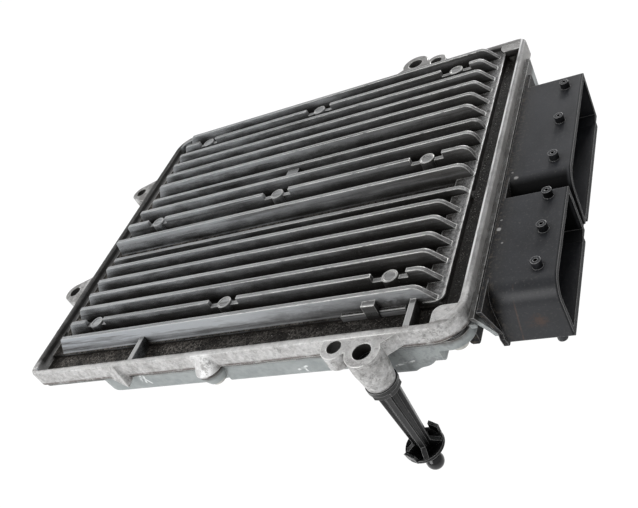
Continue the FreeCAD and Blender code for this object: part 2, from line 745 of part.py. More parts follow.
def header_with_pin_holes(header, contacts):
    for group in contacts:
        for pin in group.Solids:
            header = header.cut(pin)
    return header


def circuit_board():
    board = rounded_block(board_left, board_right, board_front, board_back, board_foot, board_top, [4.0] * 4)
    cuts = [rod(x, y, board_foot - 1, board_top + 1, board_screw_radius + 0.2) for x, y in board_pillars()]
    cuts += [rod(x, y, board_foot - 1, board_top + 1, screw_boss_radius + 1) for x, y in cover_screw_places()]
    return board.cut(as_one(cuts))


def chip(x, y, size_x, size_y, height, leads):
    """A flat package on the board's top side with a row of leads on two sides."""
    body = box(x - size_x / 2, x + size_x / 2, y - size_y / 2, y + size_y / 2, board_top + 0.1, board_top + height)
    pieces = [body]
    step = (size_x - 2.0) / (leads - 1)
    for i in range(leads):
        lead_x = x - size_x / 2 + 1.0 + i * step
        pieces.append(box(lead_x - 0.3, lead_x + 0.3, y - size_y / 2 - 1.2, y + size_y / 2 + 1.2,
                          board_top, board_top + 0.4))
    return pieces[0].fuse(pieces[1:])


def board_place(across, along):
    """A point on the board from shares of its length and width."""
    return board_left + across * (board_right - board_left), board_front + along * (board_back - board_front)


def microcontroller():
    return chip(*board_place(0.58, 0.30), 24, 24, 1.9, 12)


def memory_chips():
    return Part.makeCompound([chip(*board_place(share, 0.52), 12, 9, 1.5, 6) for share in (0.46, 0.58)])


def driver_places():
    return [board_place(0.14 + i * 0.14, 0.78) for i in range(4)]


def driver_chips():
    return Part.makeCompound([chip(x, y, 16, 12, 2.0, 8) for x, y in driver_places()])


def transistor_places():
    return [board_place(0.09 + i * 0.095, 0.17) for i in range(4)]


def output_transistors():
    return Part.makeCompound([chip(x, y, 10, 9, 2.0, 3) for x, y in transistor_places()])


def thermal_pads():
    """Soft pads that carry heat from the power parts to the finned deck."""
    pads = [rounded_block(x - 6.5, x + 6.5, y - 5, y + 5, board_top + 2.0, deck_underside, [1.5] * 4)
            for x, y in driver_places()]
    pads += [rounded_block(x - 4, x + 4, y - 3.5, y + 3.5, board_top + 2.0, deck_underside, [1.2] * 4)
             for x, y in transistor_places()]
    return Part.makeCompound(pads)


def capacitor(x, y, radius, height):
    can = Part.makeCylinder(radius, height, V(x, y, board_foot - height - 0.8))
    can = can.makeFillet(0.8, [e for e in can.Edges if abs(e.BoundBox.ZMax - (board_foot - height - 0.8)) < 0.01])
    seat = box(x - radius, x + radius, y - radius, y + radius, board_foot - 0.8, board_foot)
    return can.fuse(seat)


def capacitors():
    x = well_left + capacitor_inset
    return Part.makeCompound([capacitor(x, board_place(0, 0.27 + i * 0.08)[1], 5.0, 10.5) for i in range(3)])


def inductor():
    """A flat wound choke: a square ferrite base and cap with the winding between them."""
    x, y = well_left + capacitor_inset, board_place(0, 0.60)[1]
    foot = board_foot
    base = box(x - 6, x + 6, y - 6, y + 6, foot - 1.5, foot)
    core = rod(x, y, foot - 6.5, foot - 1.5, 4.6)
    cap = rod(x, y, foot - 8.0, foot - 6.5, 6.0)
    return base.fuse([core, cap])


def clock_crystal():
    x, y = board_place(0.46, 0.30)
    return rounded_block(x - 5.5, x + 5.5, y - 2.3, y + 2.3, board_foot - 3.6, board_foot, [2.2] * 4)


def pressure_sensor():
    x, y = board_place(0.25, 0.49)
    body = box(x - 4, x + 4, y - 4, y + 4, board_foot - 3.2, board_foot)
    nose = rod(x, y, board_foot - 4.4, board_foot - 3.2, 2.6)
    return body.fuse(nose).cut(rod(x, y, board_foot - 4.5, board_foot - 3.6, 0.8))


def board_screws():
    screws = []
    for x, y in board_pillars():
        shank = rod(x, y, board_foot - 0.5, deck_underside - 0.6, board_screw_radius)
        head = rod(x, y, board_foot - 1.8, board_foot, board_screw_head)
        socket = prism([V(x + 1.5 * math.cos(math.radians(60 * i)), y + 1.5 * math.sin(math.radians(60 * i)),
                          board_foot - 2.0) for i in range(6)], V(0, 0, 1.0))
        screws.append(head.fuse(shank).cut(socket))
    return Part.makeCompound(screws)


def cover_screws():
    screws = []
    for x, y in cover_screw_places():
        head = rod(x, y, ear_foot - screw_head_height, ear_foot, screw_head_radius)
        head = head.makeFillet(0.8, [e for e in head.Edges if e.BoundBox.ZMax < ear_foot - screw_head_height + 0.01])
        shank = rod(x, y, ear_foot - 0.5, screw_boss_depth - 2.5, screw_radius)
        socket = prism([V(x + 2.2 * math.cos(math.radians(60 * i)), y + 2.2 * math.sin(math.radians(60 * i)),
                          ear_foot - screw_head_height - 0.5) for i in range(6)], V(0, 0, 2.2))
        screws.append(head.fuse(shank).cut(socket))
    return Part.makeCompound(screws)


def vent_plug():
    """The round breather pressed against the pan's floor from outside."""
    x, y = middle_x - 17.0, middle_line
    floor = -pan_depth
    plug = rod(x, y, floor - 2.6, floor, 7.0)
    rim = rod(x, y, floor - 3.4, floor - 2.6, 5.2)
    slots = [box(x - 9, x + 9, y - 0.8, y + 0.8, floor - 2.4, floor - 1.2)]
    slots.append(box(x - 0.8, x + 0.8, y - 9, y + 9, floor - 2.4, floor - 1.2))
    return plug.fuse(rim).cut(as_one(slots))


def header_clip():
    """The moulded block under the front right corner, behind the end plate."""
    x, y = cover_length - clip_from_right, clip_front
    block = box(x, x + clip_size[0], y, y + clip_size[1], -clip_depth, -shallow_depth)
    edges = [e for e in block.Edges if e.BoundBox.ZMax < 0.1 - clip_depth and abs(e.tangentAt(0).y) > 0.9]
    return block.makeChamfer(0.8, edges)


def cruciform(z_top, z_foot, r_top, r_foot):
    """Four tapering ribs round a thin core."""
    shapes = []
    t = rib_thickness / 2
    for angle in (0, 90):
        points = [V(leg_x - r_top, leg_y - t, z_top), V(leg_x + r_top, leg_y - t, z_top),
                  V(leg_x + r_foot, leg_y - t, z_foot), V(leg_x - r_foot, leg_y - t, z_foot)]
        rib = prism(points, V(0, rib_thickness, 0))
        rib.rotate(V(leg_x, leg_y, 0), V(0, 0, 1), angle + 20)
        shapes.append(rib)
    core = Part.makeCone(r_foot * 0.72, r_top * 0.62, z_top - z_foot, V(leg_x, leg_y, z_foot))
    return shapes + [core]


def mount_leg():
    collar_foot = leg_boss_foot - collar_height
    shank_foot = collar_foot - shank_length
    spigot = rod(leg_x, leg_y, leg_boss_foot - 0.5, lug_top - 5.0, leg_hole_radius - leg_fit)
    ring = rod(leg_x, leg_y, leg_boss_foot - collar_ring, leg_boss_foot, collar_radius - 0.3)
    corners = [V(leg_x + collar_radius * math.cos(math.radians(60 * i + 10)),
                 leg_y + collar_radius * math.sin(math.radians(60 * i + 10)), collar_foot) for i in range(6)]
    hexagon = prism(corners, V(0, 0, collar_height - collar_ring))
    hexagon = hexagon.common(Part.makeCone(collar_radius - 1.6, collar_radius + 1.5, collar_height - collar_ring,
                                           V(leg_x, leg_y, collar_foot)))
    shapes = [ring, hexagon] + cruciform(collar_foot + 0.5, shank_foot, shank_top_radius, shank_end_radius)
    rim_z = shank_foot + cup_height * 0.4
    low_z = rim_z - cup_height
    outline = [V(leg_x, leg_y, low_z), V(leg_x + shank_end_radius, leg_y, low_z), V(leg_x + cup_radius, leg_y, rim_z),
               V(leg_x + cup_radius - 0.5, leg_y, rim_z + 0.9),
               V(leg_x + shank_end_radius, leg_y, low_z + cup_wall + 1.2), V(leg_x, leg_y, low_z + cup_wall + 1.2)]
    cup = Part.Face(Part.makePolygon(outline + outline[:1])).revolve(V(leg_x, leg_y, 0), V(0, 0, 1), 360)
    shapes.append(cup)
    for angle in (0, 90, 180, 270):
        fin_points = [V(leg_x, leg_y, shank_foot + 6.0), V(leg_x + shank_end_radius, leg_y, shank_foot + 5.0),
                      V(leg_x + cup_radius - 1.0, leg_y, rim_z + 0.4), V(leg_x, leg_y, low_z + 0.8)]
        arm = prism(fin_points, V(0, rib_thickness, 0))
        arm.translate(V(0, -rib_thickness / 2, 0))
        arm.rotate(V(leg_x, leg_y, 0), V(0, 0, 1), angle + 20)
        shapes.append(arm)
    for angle in (65, 245):
        points = [V(leg_x + cup_radius - 1.6, leg_y - tab_width / 2, rim_z - 0.6),
                  V(leg_x + cup_radius - 0.3, leg_y - tab_width / 2, rim_z - 0.2),
                  V(leg_x + cup_radius + 0.2, leg_y - tab_width / 2, rim_z + tab_height),
                  V(leg_x + cup_radius - 1.2, leg_y - tab_width / 2, rim_z + tab_height - 0.6)]
        tab = prism(points, V(0, tab_width, 0))
        tab.rotate(V(leg_x, leg_y, 0), V(0, 0, 1), angle)
        shapes.append(tab)
    leg = as_one([spigot] + shapes)
    ball_z = ball_height()
    return leg.cut(rod(leg_x, leg_y, ball_z, low_z + 6.0, neck_radius - 0.6 + leg_fit))


def cup_foot():
    shank_foot = leg_boss_foot - collar_height - shank_length
    return shank_foot + cup_height * 0.4 - cup_height


def ball_height():
    return cup_foot() - ball_drop


def ball_pin():
    """The ball with its neck and the stem that is pressed into the leg."""
    z = ball_height()
    ball = Part.makeSphere(ball_radius, V(leg_x, leg_y, z))
    neck = rod(leg_x, leg_y, z, cup_foot(), neck_radius)
    stem = rod(leg_x, leg_y, z, cup_foot() + 5.6, neck_radius - 0.6)
    return ball.fuse([neck, stem])


def main():
    os.makedirs("parts", exist_ok=True)
    contacts = {}
    for name, (start, width) in zip(("front", "rear"), [s[:2] for s in shrouds()]):
        contacts[name + "_signal_pins"] = signal_contacts(start, width)
        contacts[name + "_power_blades"] = power_contacts(start, width)
    nodes = {
        "finned_cover": finned_cover(),
        "sealing_bead": sealing_bead(),
        "base_pan": base_pan(),
        "connector_header": header_with_pin_holes(connector_header(), contacts.values()),
        "header_seal": header_seal(),
        "header_clip": header_clip(),
        "circuit_board": circuit_board(),
        "microcontroller": microcontroller(),
        "memory_chips": memory_chips(),
        "driver_chips": driver_chips(),
        "output_transistors": output_transistors(),
        "thermal_pads": thermal_pads(),
        "capacitors": capacitors(),
        "inductor": inductor(),
        "clock_crystal": clock_crystal(),
        "pressure_sensor": pressure_sensor(),
        "board_screws": board_screws(),
        "cover_screws": cover_screws(),
        "vent_plug": vent_plug(),
        "mount_leg": mount_leg(),
        "ball_pin": ball_pin(),
    }
    nodes.update(contacts)
    for name, shape in nodes.items():
        shape = smooth(shape)
        shape.translate(V(0, 0, 0).sub(origin))
        limits = shape.BoundBox
        print(f"{name}: {len(shape.Solids)} solids, valid {shape.isValid()}, volume {shape.Volume / 1000:.2f} cm3,",
              f"x {limits.XMin:.1f} {limits.XMax:.1f}, y {limits.YMin:.1f} {limits.YMax:.1f},",
              f"z {limits.ZMin:.1f} {limits.ZMax:.1f}")
        shape.exportStep(f"parts/{name}.step")


main()
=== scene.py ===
# %% [markdown]
# # A used engine control unit
# The real object is a die-cast aluminium housing full of electronics, with a black plug header at one end
# and a plastic leg under its front edge. The solid shapes come from the CAD model, already in the right
# place and size. This lesson gives them light, a camera and finishes that show years under a bonnet.

import json
import math
import random

import bmesh
import bpy
from mathutils import Matrix, Vector


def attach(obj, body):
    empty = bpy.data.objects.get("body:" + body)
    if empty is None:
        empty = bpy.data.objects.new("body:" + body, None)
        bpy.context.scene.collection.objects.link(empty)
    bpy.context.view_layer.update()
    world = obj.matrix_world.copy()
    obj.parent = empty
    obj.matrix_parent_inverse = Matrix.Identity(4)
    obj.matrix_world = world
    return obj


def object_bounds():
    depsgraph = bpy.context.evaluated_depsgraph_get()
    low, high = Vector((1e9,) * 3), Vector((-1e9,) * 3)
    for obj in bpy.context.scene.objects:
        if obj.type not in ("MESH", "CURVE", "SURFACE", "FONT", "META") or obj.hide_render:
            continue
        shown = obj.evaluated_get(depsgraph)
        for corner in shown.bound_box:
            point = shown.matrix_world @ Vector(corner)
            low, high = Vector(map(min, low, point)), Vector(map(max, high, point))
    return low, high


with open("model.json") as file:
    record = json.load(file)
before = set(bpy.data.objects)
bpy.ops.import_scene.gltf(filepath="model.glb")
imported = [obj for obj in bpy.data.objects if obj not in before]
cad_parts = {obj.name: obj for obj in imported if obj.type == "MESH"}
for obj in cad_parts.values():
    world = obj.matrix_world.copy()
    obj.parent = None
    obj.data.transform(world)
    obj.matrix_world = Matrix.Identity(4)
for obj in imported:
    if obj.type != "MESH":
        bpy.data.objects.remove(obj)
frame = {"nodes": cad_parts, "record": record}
cad_low, cad_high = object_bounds()
mm = 0.001
print("cad box", [round(v, 4) for v in (*cad_low, *cad_high)])

# %% [markdown]
# ## The camera
# A part is easiest to judge from the angle of its photograph. The angle could be set by eye, but here it was
# worked out beforehand from straight edges of the housing, so the three directions are simply written down.
# A camera looks along its own minus Z, with X to the right and Y up in the picture.

# %% Camera
camera_place = Vector((164.55, -184.31, 202.56)) * mm
camera_right = Vector((0.8382692, 0.2863476, -0.4640149))
camera_up = Vector((0.1539109, 0.6921323, 0.7051697))
camera_back = Vector((0.5230834, -0.6625390, 0.5361212))
focal_pixels = 818.02
picture_width = 638
sensor_width = 36.0

camera_data = bpy.data.cameras.new("camera")
camera_data.sensor_width = sensor_width
camera_data.lens = focal_pixels / picture_width * sensor_width
camera_data.clip_start = 0.01
camera = bpy.data.objects.new("camera", camera_data)
bpy.context.collection.objects.link(camera)
turn = Matrix((camera_right, camera_up, camera_back)).transposed().to_4x4()
camera.matrix_world = Matrix.Translation(camera_place) @ turn
bpy.context.scene.camera = camera
bpy.context.scene.view_settings.view_transform = "Standard"
print("lens", round(camera_data.lens, 2), "mm")

# %% [markdown]
# ## A small vocabulary for node materials
# A procedural material is a graph of nodes. Adding each node takes several lines, so one helper does it: it
# makes a node, sets its settings and feeds its inputs with either numbers or the outputs of other nodes.
# A finish is then built like paint: coats are laid over each other, and a mask says where each one shows.


# %% Node helpers
def add_node(tree, kind, settings=None, **inputs):
    """Makes a node. Inputs are named by their place or label, with spaces written as underscores."""
    node = tree.nodes.new(kind)
    for name, value in (settings or {}).items():
        setattr(node, name, value)
    for name, value in inputs.items():
        key = int(name[1:]) if name[0] == "i" and name[1:].isdigit() else name.replace("_", " ")
        socket = node.inputs[key]
        if isinstance(value, bpy.types.NodeSocket):
            tree.links.new(value, socket)
        else:
            socket.default_value = value
    return node


def new_material(name, **shader_inputs):
    """A material with a Principled shader, whose even values sit on the shader's own sockets."""
    material = bpy.data.materials.new(name)
    material.use_nodes = True
    tree = material.node_tree
    shader = tree.nodes["Principled BSDF"]
    for key, value in shader_inputs.items():
        shader.inputs[key.replace("_", " ")].default_value = value
    return material, tree, shader


def colour(red, green, blue):
    return (red, green, blue, 1.0)


def grey(level, warmth=0.0):
    """A grey; warmth above zero leans it to brown, below zero to blue."""
    return colour(level * (1 + warmth), level, level * (1 - warmth))


def mix_colours(tree, amount, first, second):
    node = add_node(tree, "ShaderNodeMix", {"data_type": "RGBA"}, i0=amount, i6=first, i7=second)
    return node.outputs[2]


def mix_values(tree, amount, first, second):
    node = add_node(tree, "ShaderNodeMix", {"data_type": "FLOAT"}, i0=amount, i2=first, i3=second)
    return node.outputs[0]


def layered(tree, under, *coats):
    """Lays coats over a colour, one after the other. Each coat is a mask and its colour."""
    for mask, coat in coats:
        under = mix_colours(tree, mask, under, coat)
    return under


print("node helpers ready")

# %% [markdown]
# ## Arithmetic with masks
# A mask is a number from 0 to 1 at each point of the surface. It could be painted as a picture, but a
# computed mask is sharp at any distance and needs no file. A ramp stretches part of a range to 0 and 1, a
# product keeps what all its masks share, and a maximum keeps what any of them has. Noise makes them ragged.


# %% Mask arithmetic
def maths(tree, operation, first, second=0.0):
    """Arithmetic on shares, held between 0 and 1."""
    settings = {"operation": operation, "use_clamp": True}
    return add_node(tree, "ShaderNodeMath", settings, i0=first, i1=second).outputs[0]


def maths_free(tree, operation, first, second=0.0):
    """Arithmetic on lengths, which may be negative."""
    return add_node(tree, "ShaderNodeMath", {"operation": operation}, i0=first, i1=second).outputs[0]


def ramp(tree, value, low, high, out_low=0.0, out_high=1.0):
    """Stretches a part of a value's range, and holds it beyond the ends."""
    node = add_node(tree, "ShaderNodeMapRange", {"clamp": True}, i0=value, i1=low, i2=high, i3=out_low,
                    i4=out_high)
    return node.outputs[0]


def between(tree, value, start, end, out_start=0.0, out_end=1.0):
    """A ramp from one place on an axis to another, in millimetres."""
    return ramp(tree, value, start * mm, end * mm, out_start, out_end)


def product(tree, *shares):
    result = shares[0]
    for share in shares[1:]:
        result = maths(tree, "MULTIPLY", result, share)
    return result


def largest(tree, *shares):
    result = shares[0]
    for share in shares[1:]:
        result = maths(tree, "MAXIMUM", result, share)
    return result


def opposite(tree, share):
    return maths(tree, "SUBTRACT", 1.0, share)


def band(tree, value, low, high, soft=0.4):
    """1 between two places on an axis, in millimetres, fading out over the soft border."""
    rise = between(tree, value, low - soft, low)
    fall = between(tree, value, high, high + soft, 1.0, 0.0)
    return product(tree, rise, fall)


def place(tree):
    """The point being shaded, in metres, fixed to the object."""
    return add_node(tree, "ShaderNodeTexCoord").outputs["Object"]


def speckle(tree, scale, detail=4.0, rough=0.55, where=None):
    """Cloudy noise from 0 to 1. A scale of 100 gives patches about a centimetre wide."""
    node = add_node(tree, "ShaderNodeTexNoise", None, Vector=where or place(tree), Scale=scale, Detail=detail,
                    Roughness=rough)
    return node.outputs[0]


print("mask arithmetic ready")

# %% [markdown]
# ## Masks that know the object
# Wear polishes edges that stand out, and corners hold dirt and get painted shade. Both could be painted by
# hand, but a painted mask only suits one shape. Two nodes find these places on any shape: Bevel rounds the
# normals near an edge,
# so a changed normal means an edge, and Ambient Occlusion tells how closed in a point is. Where a real part
# is dirty in one region and clean in the next, the point's own position picks the region.


# %% Edges, corners and directions
def axes(tree):
    """The shaded point's x, y and z in metres."""
    return tuple(add_node(tree, "ShaderNodeSeparateXYZ", None, Vector=place(tree)).outputs)


def facing(tree):
    """The three parts of the surface's direction."""
    normal = add_node(tree, "ShaderNodeNewGeometry").outputs["Normal"]
    return tuple(add_node(tree, "ShaderNodeSeparateXYZ", None, Vector=normal).outputs)


def closed_in(tree, reach, samples=6):
    """1 deep in corners, 0 in the open. Reach is in millimetres."""
    settings = {"samples": samples, "only_local": True}
    node = add_node(tree, "ShaderNodeAmbientOcclusion", settings, Distance=reach * mm)
    return opposite(tree, node.outputs["AO"])


def soft_normal(tree, radius):
    """The surface's direction with its sharp edges rounded off. Radius is in millimetres."""
    return add_node(tree, "ShaderNodeBevel", {"samples": 6}, Radius=radius * mm).outputs[0]


def worn_edge(tree, rounded, closed, sharp=0.12, patch_low=0.34, patch_high=0.55):
    """1 along edges that stand out, broken up by noise."""
    plain = add_node(tree, "ShaderNodeNewGeometry").outputs["Normal"]
    likeness = add_node(tree, "ShaderNodeVectorMath", {"operation": "DOT_PRODUCT"}, i0=rounded, i1=plain)
    edge = ramp(tree, likeness.outputs["Value"], 1.0 - sharp, 0.998, 1.0, 0.0)
    open_place = ramp(tree, closed, 0.42, 0.58, 1.0, 0.0)
    return product(tree, edge, open_place, ramp(tree, speckle(tree, 240.0), patch_low, patch_high))


def bump(tree, height_value, depth, strength=1.0, normal=None):
    """Depth is in millimetres."""
    inputs = {"Strength": strength, "Distance": depth * mm, "Height": height_value}
    if normal is not None:
        inputs["Normal"] = normal
    return add_node(tree, "ShaderNodeBump", None, **inputs).outputs[0]


print("edge and corner masks ready")

# %% [markdown]
# ## Streaks, stains and scratches
# Real marks have a shape of their own: oil runs along a fin, a dried stain leaves a thin edge, a scrape is a
# short straight line. A noise stretched along one axis gives the streaks, the contour lines of a noise give
# the edges of stains, and a narrow band in turned axes gives a scratch.


# %% Marks
def stretched(tree, scale):
    """A place whose noise is drawn out along the axis with the smallest scale."""
    return add_node(tree, "ShaderNodeMapping", None, Vector=place(tree), Scale=scale).outputs[0]


def veins(tree, scale, width):
    """Thin broken contour lines, like the edges of dried stains, in scattered patches."""
    ripple = add_node(tree, "ShaderNodeTexNoise", None, Vector=place(tree), Scale=scale, Detail=4.0,
                      Roughness=0.6, Distortion=0.6).outputs[0]
    away = maths(tree, "ABSOLUTE", maths_free(tree, "SUBTRACT", ripple, 0.5))
    line = ramp(tree, away, width * 0.4, width * 2.4, 1.0, 0.0)
    return product(tree, line, ramp(tree, speckle(tree, scale * 0.6, 3.0), 0.5, 0.62))


def stroke(tree, across, along, start, angle, length, width):
    """1 on a short straight scratch. The start is a place in millimetres, the angle in degrees."""
    turn_angle = math.radians(angle)
    first = maths_free(tree, "SUBTRACT", across, start[0] * mm)
    second = maths_free(tree, "SUBTRACT", along, start[1] * mm)
    ahead = maths_free(tree, "ADD", maths_free(tree, "MULTIPLY", first, math.cos(turn_angle)),
                       maths_free(tree, "MULTIPLY", second, math.sin(turn_angle)))
    aside = maths_free(tree, "SUBTRACT", maths_free(tree, "MULTIPLY", second, math.cos(turn_angle)),
                       maths_free(tree, "MULTIPLY", first, math.sin(turn_angle)))
    return product(tree, band(tree, ahead, 0.0, length, 0.6), band(tree, aside, -width / 2, width / 2, 0.25))


def spot(tree, centre, radius, ragged=0.7):
    """1 within a ragged patch round a point. Both are in millimetres."""
    target = Vector(centre) * mm
    offset = add_node(tree, "ShaderNodeVectorMath", {"operation": "SUBTRACT"}, i0=place(tree), i1=target)
    reach = add_node(tree, "ShaderNodeVectorMath", {"operation": "LENGTH"}, i0=offset.outputs[0])
    shift = ragged * radius * mm
    noise_part = maths(tree, "MULTIPLY", speckle(tree, 700.0 / radius, 4.0, 0.7), 2.0 * shift)
    uneven = maths_free(tree, "ADD", reach.outputs["Value"], maths_free(tree, "SUBTRACT", noise_part, shift))
    return between(tree, uneven, radius * 0.6, radius, 1.0, 0.0)


def spots(tree, centres, radius):
    return largest(tree, *[spot(tree, centre, radius) for centre in centres])


print("marks ready")

# %% [markdown]
# ## Die-cast aluminium, clean and dirty
# The cover is cast, so its skin is grainy and dull grey, not mirror-like. The outer walls and lugs were wiped
# and touched, so they stay light. Oil and road dust baked on inside the rim, where the fins stand. Both could
# be separate pieces with a material each, but it is one casting, so one material holds both and picks by
# position. First come the colours, the places that the masks need and the cloudy metal itself.

# %% Metal colours and places
# The near-black grime colour also serves as painted shade where a casting is closed in and down the screw
# holes.
shade_and_grime = colour(0.020, 0.018, 0.015)
brown_dust = colour(0.085, 0.070, 0.055)
bright_metal = colour(0.80, 0.80, 0.78)
rim_left, rim_right, rim_front, rim_back = -179.2, 48.8, 6.6, 197.9
front_right_round, front_right_radius = (36.8, 18.6), 12.0
back_left_round, back_left_radius = (-170.2, 188.9), 9.0
boss_centre, boss_reach = (-69.7, -1.5, 4.0), 9.0
screw_holes = (((0.0, 0.0), 3.25), ((13.4, -3.8), 4.0), ((0.0, 204.5), 3.25), ((-13.4, 208.3), 4.0),
               ((-189.9, 63.3), 3.25), ((-189.9, 149.1), 3.25))


def oxide(tree, dark, light, scale=38.0):
    """Cloudy, finely mottled metal."""
    clouds = ramp(tree, speckle(tree, scale, 6.0, 0.62), 0.36, 0.62)
    mottle = ramp(tree, speckle(tree, 430.0, 4.0, 0.6), 0.3, 0.7)
    share = maths(tree, "ADD", product(tree, clouds, 0.6), product(tree, mottle, 0.4))
    return mix_colours(tree, share, dark, light)


print(len(screw_holes), "screw holes, rim from", rim_left, "to", rim_right, "mm")

# %% [markdown]
# ## The fins and the floors between them
# The fins darken towards their feet and the floors are almost black, partly from the dust that air leaves
# where it slows down and partly from painted shade in the gaps. The plateau at the fins' right ends lies
# higher and is scrubbed greyer. Each of these surfaces gets a small recipe: a base tone that changes along
# the cover, darker to the right as painted falloff of the light from the left, then streaks, crumbs and
# specks on top.
# a small recipe: a base tone that changes along the cover, then streaks, crumbs and specks on top.


# %% Fin recipes
def fin_sides(tree, x, painted_falloff, depth, streaks, grit):
    """Pale at the top left, nearly black towards the foot and the right."""
    specks = product(tree, ramp(tree, grit, 0.60, 0.68), between(tree, x, -40.0, 30.0), 0.6)
    # The tone falls to the right as painted falloff of the light from the left, and depth lays painted shade
    # of the gaps together with dirt.
    tone = mix_colours(tree, painted_falloff, grey(0.50, -0.04), grey(0.10, 0.02))
    return layered(tree, tone,
                   (ramp(tree, streaks, 0.50, 0.66, 0.0, 0.7), grey(0.34, -0.02)),
                   (ramp(tree, streaks, 0.47, 0.36, 0.0, 0.7), grey(0.045, 0.04)),
                   (depth, grey(0.010, 0.10)),
                   (specks, grey(0.20, 0.02)))


def fin_tops(tree, painted_falloff, streaks):
    # The top tone darkens to the right as painted falloff of the light from the left.
    tone = mix_colours(tree, painted_falloff, grey(0.27, -0.03), grey(0.21))
    return layered(tree, tone,
                   (ramp(tree, streaks, 0.50, 0.34, 0.0, 0.75), grey(0.07, 0.02)),
                   (ramp(tree, streaks, 0.54, 0.66, 0.0, 0.6), grey(0.42)))


def silted_floor(tree, x, painted_falloff, grit, silt):
    """A black film with lighter crumbs, and white specks in the trough."""
    crumbs = product(tree, ramp(tree, grit, 0.44, 0.60), ramp(tree, silt, 0.40, 0.60, 0.08, 1.0))
    # The crumbs darken to the right as painted falloff of the light from the left.
    crumb_tone = mix_colours(tree, painted_falloff, grey(0.210, 0.10), grey(0.085, 0.06))
    crumb_tone = mix_colours(tree, between(tree, x, 38.0, 41.5), crumb_tone, grey(0.022))
    white_specks = product(tree, ramp(tree, grit, 0.67, 0.70), between(tree, x, 36.0, 41.0), 0.9)
    return layered(tree, grey(0.006, 0.15), (crumbs, crumb_tone), (white_specks, grey(0.50)))


def scrubbed_plateau(tree, x):
    outer_part = between(tree, x, 34.0, 38.0)
    dark = mix_colours(tree, outer_part, grey(0.012, 0.05), grey(0.075))
    light = mix_colours(tree, outer_part, grey(0.10, 0.03), grey(0.24))
    return mix_colours(tree, ramp(tree, speckle(tree, 620.0, 6.0, 0.78), 0.42, 0.60), dark, light)


print("fin recipes ready")

# %% [markdown]
# ## Everything inside the rim
# The first fin's face is seen best: bluish and pale on the left, darker on the right as painted falloff of
# the light from the left, and caked with dirt on the right. It gets its own recipe. The others are then
# chosen by height and by the way the surface faces: level surfaces are floor, plateau or fin top by their
# height, and steep ones are fin sides.


# %% Inside the rim
def first_fin(tree, x, ragged_height, streaks, silt):
    caked = product(tree, between(tree, x, -45.0, 5.0), between(tree, ragged_height, 12.0, 6.5),
                    ramp(tree, silt, 0.34, 0.50), 0.85)
    # The tone and the first coat darken the face from left to right: painted falloff of the light from the
    # left.
    tone = mix_colours(tree, between(tree, x, -165.0, -60.0), colour(0.56, 0.59, 0.63), grey(0.66, -0.04))
    return layered(tree, tone,
                   (between(tree, x, -60.0, 0.0), grey(0.40, -0.03)),
                   (ramp(tree, streaks, 0.50, 0.38, 0.0, 0.75), grey(0.10, 0.03)),
                   (between(tree, ragged_height, 8.5, 4.5, 0.0, 0.7), grey(0.07, 0.10)),
                   (caked, grey(0.020, 0.06)))


def finned_side(tree, x, y, z, ny, nz, closed):
    """The soiled colours inside the rim, with painted shade and painted falloff of light."""
    streaks = speckle(tree, 1.0, 6.0, 0.68, stretched(tree, (16.0, 520.0, 420.0)))
    smears = speckle(tree, 1.0, 5.0, 0.65, stretched(tree, (55.0, 150.0, 190.0)))
    grit = speckle(tree, 760.0, 5.0, 0.78)
    silt = speckle(tree, 75.0, 6.0, 0.72)
    # The ramp along x is painted falloff of the light from the left; depth, from how closed in a point is, is
    # painted shade of the gaps together with dirt.
    painted_falloff = between(tree, x, -115.0, 15.0)
    uneven = maths_free(tree, "MULTIPLY", maths_free(tree, "SUBTRACT", smears, 0.5), 0.6)
    depth = ramp(tree, maths_free(tree, "ADD", closed, uneven), 0.33, 0.63)
    web_tops = product(tree, band(tree, y, 6.9, 18.0), between(tree, z, 5.6, 6.2))
    level = layered(tree, silted_floor(tree, x, painted_falloff, grit, silt),
                    (between(tree, z, 4.0, 4.7), scrubbed_plateau(tree, x)),
                    (between(tree, z, 6.0, 7.6), fin_tops(tree, painted_falloff, streaks)),
                    (web_tops, grey(0.36)))
    ragged_height = maths_free(tree, "ADD", z, maths_free(tree, "MULTIPLY", uneven, 16.0 * mm))
    first_face = product(tree, band(tree, y, 18.0, 21.2), ramp(tree, ny, -0.5, -0.8),
                         between(tree, ragged_height, 3.8, 6.4))
    return layered(tree, fin_sides(tree, x, painted_falloff, depth, streaks, grit),
                   (ramp(tree, nz, 0.55, 0.85), level),
                   (first_face, first_fin(tree, x, ragged_height, streaks, silt)))


print("inner finish ready")

# %% [markdown]
# ## Where the rim ends
# The dirty inside and the light outside meet along the rim, which has straight sides and two round corners.
# The mask could follow the CAD edge by vertex groups, but position is enough: a band along each axis, less
# the corners that lie beyond their round.


# %% Rim and hole masks
def length_of(tree, aside, ahead):
    """The length of a level vector from its two parts."""
    square = maths_free(tree, "ADD", maths_free(tree, "MULTIPLY", aside, aside),
                        maths_free(tree, "MULTIPLY", ahead, ahead))
    return maths_free(tree, "SQRT", square)


def beyond_corner(tree, x, y, centre, outward, inner_radius):
    """1 outside the round of an inner corner. The centre is in millimetres, outward gives its side."""
    aside = maths_free(tree, "MULTIPLY", maths_free(tree, "SUBTRACT", x, centre[0] * mm), outward[0])
    ahead = maths_free(tree, "MULTIPLY", maths_free(tree, "SUBTRACT", y, centre[1] * mm), outward[1])
    reach = length_of(tree, aside, ahead)
    return product(tree, between(tree, aside, 0.0, 0.4), between(tree, ahead, 0.0, 0.4),
                   between(tree, reach, inner_radius + 0.1, inner_radius + 0.5))


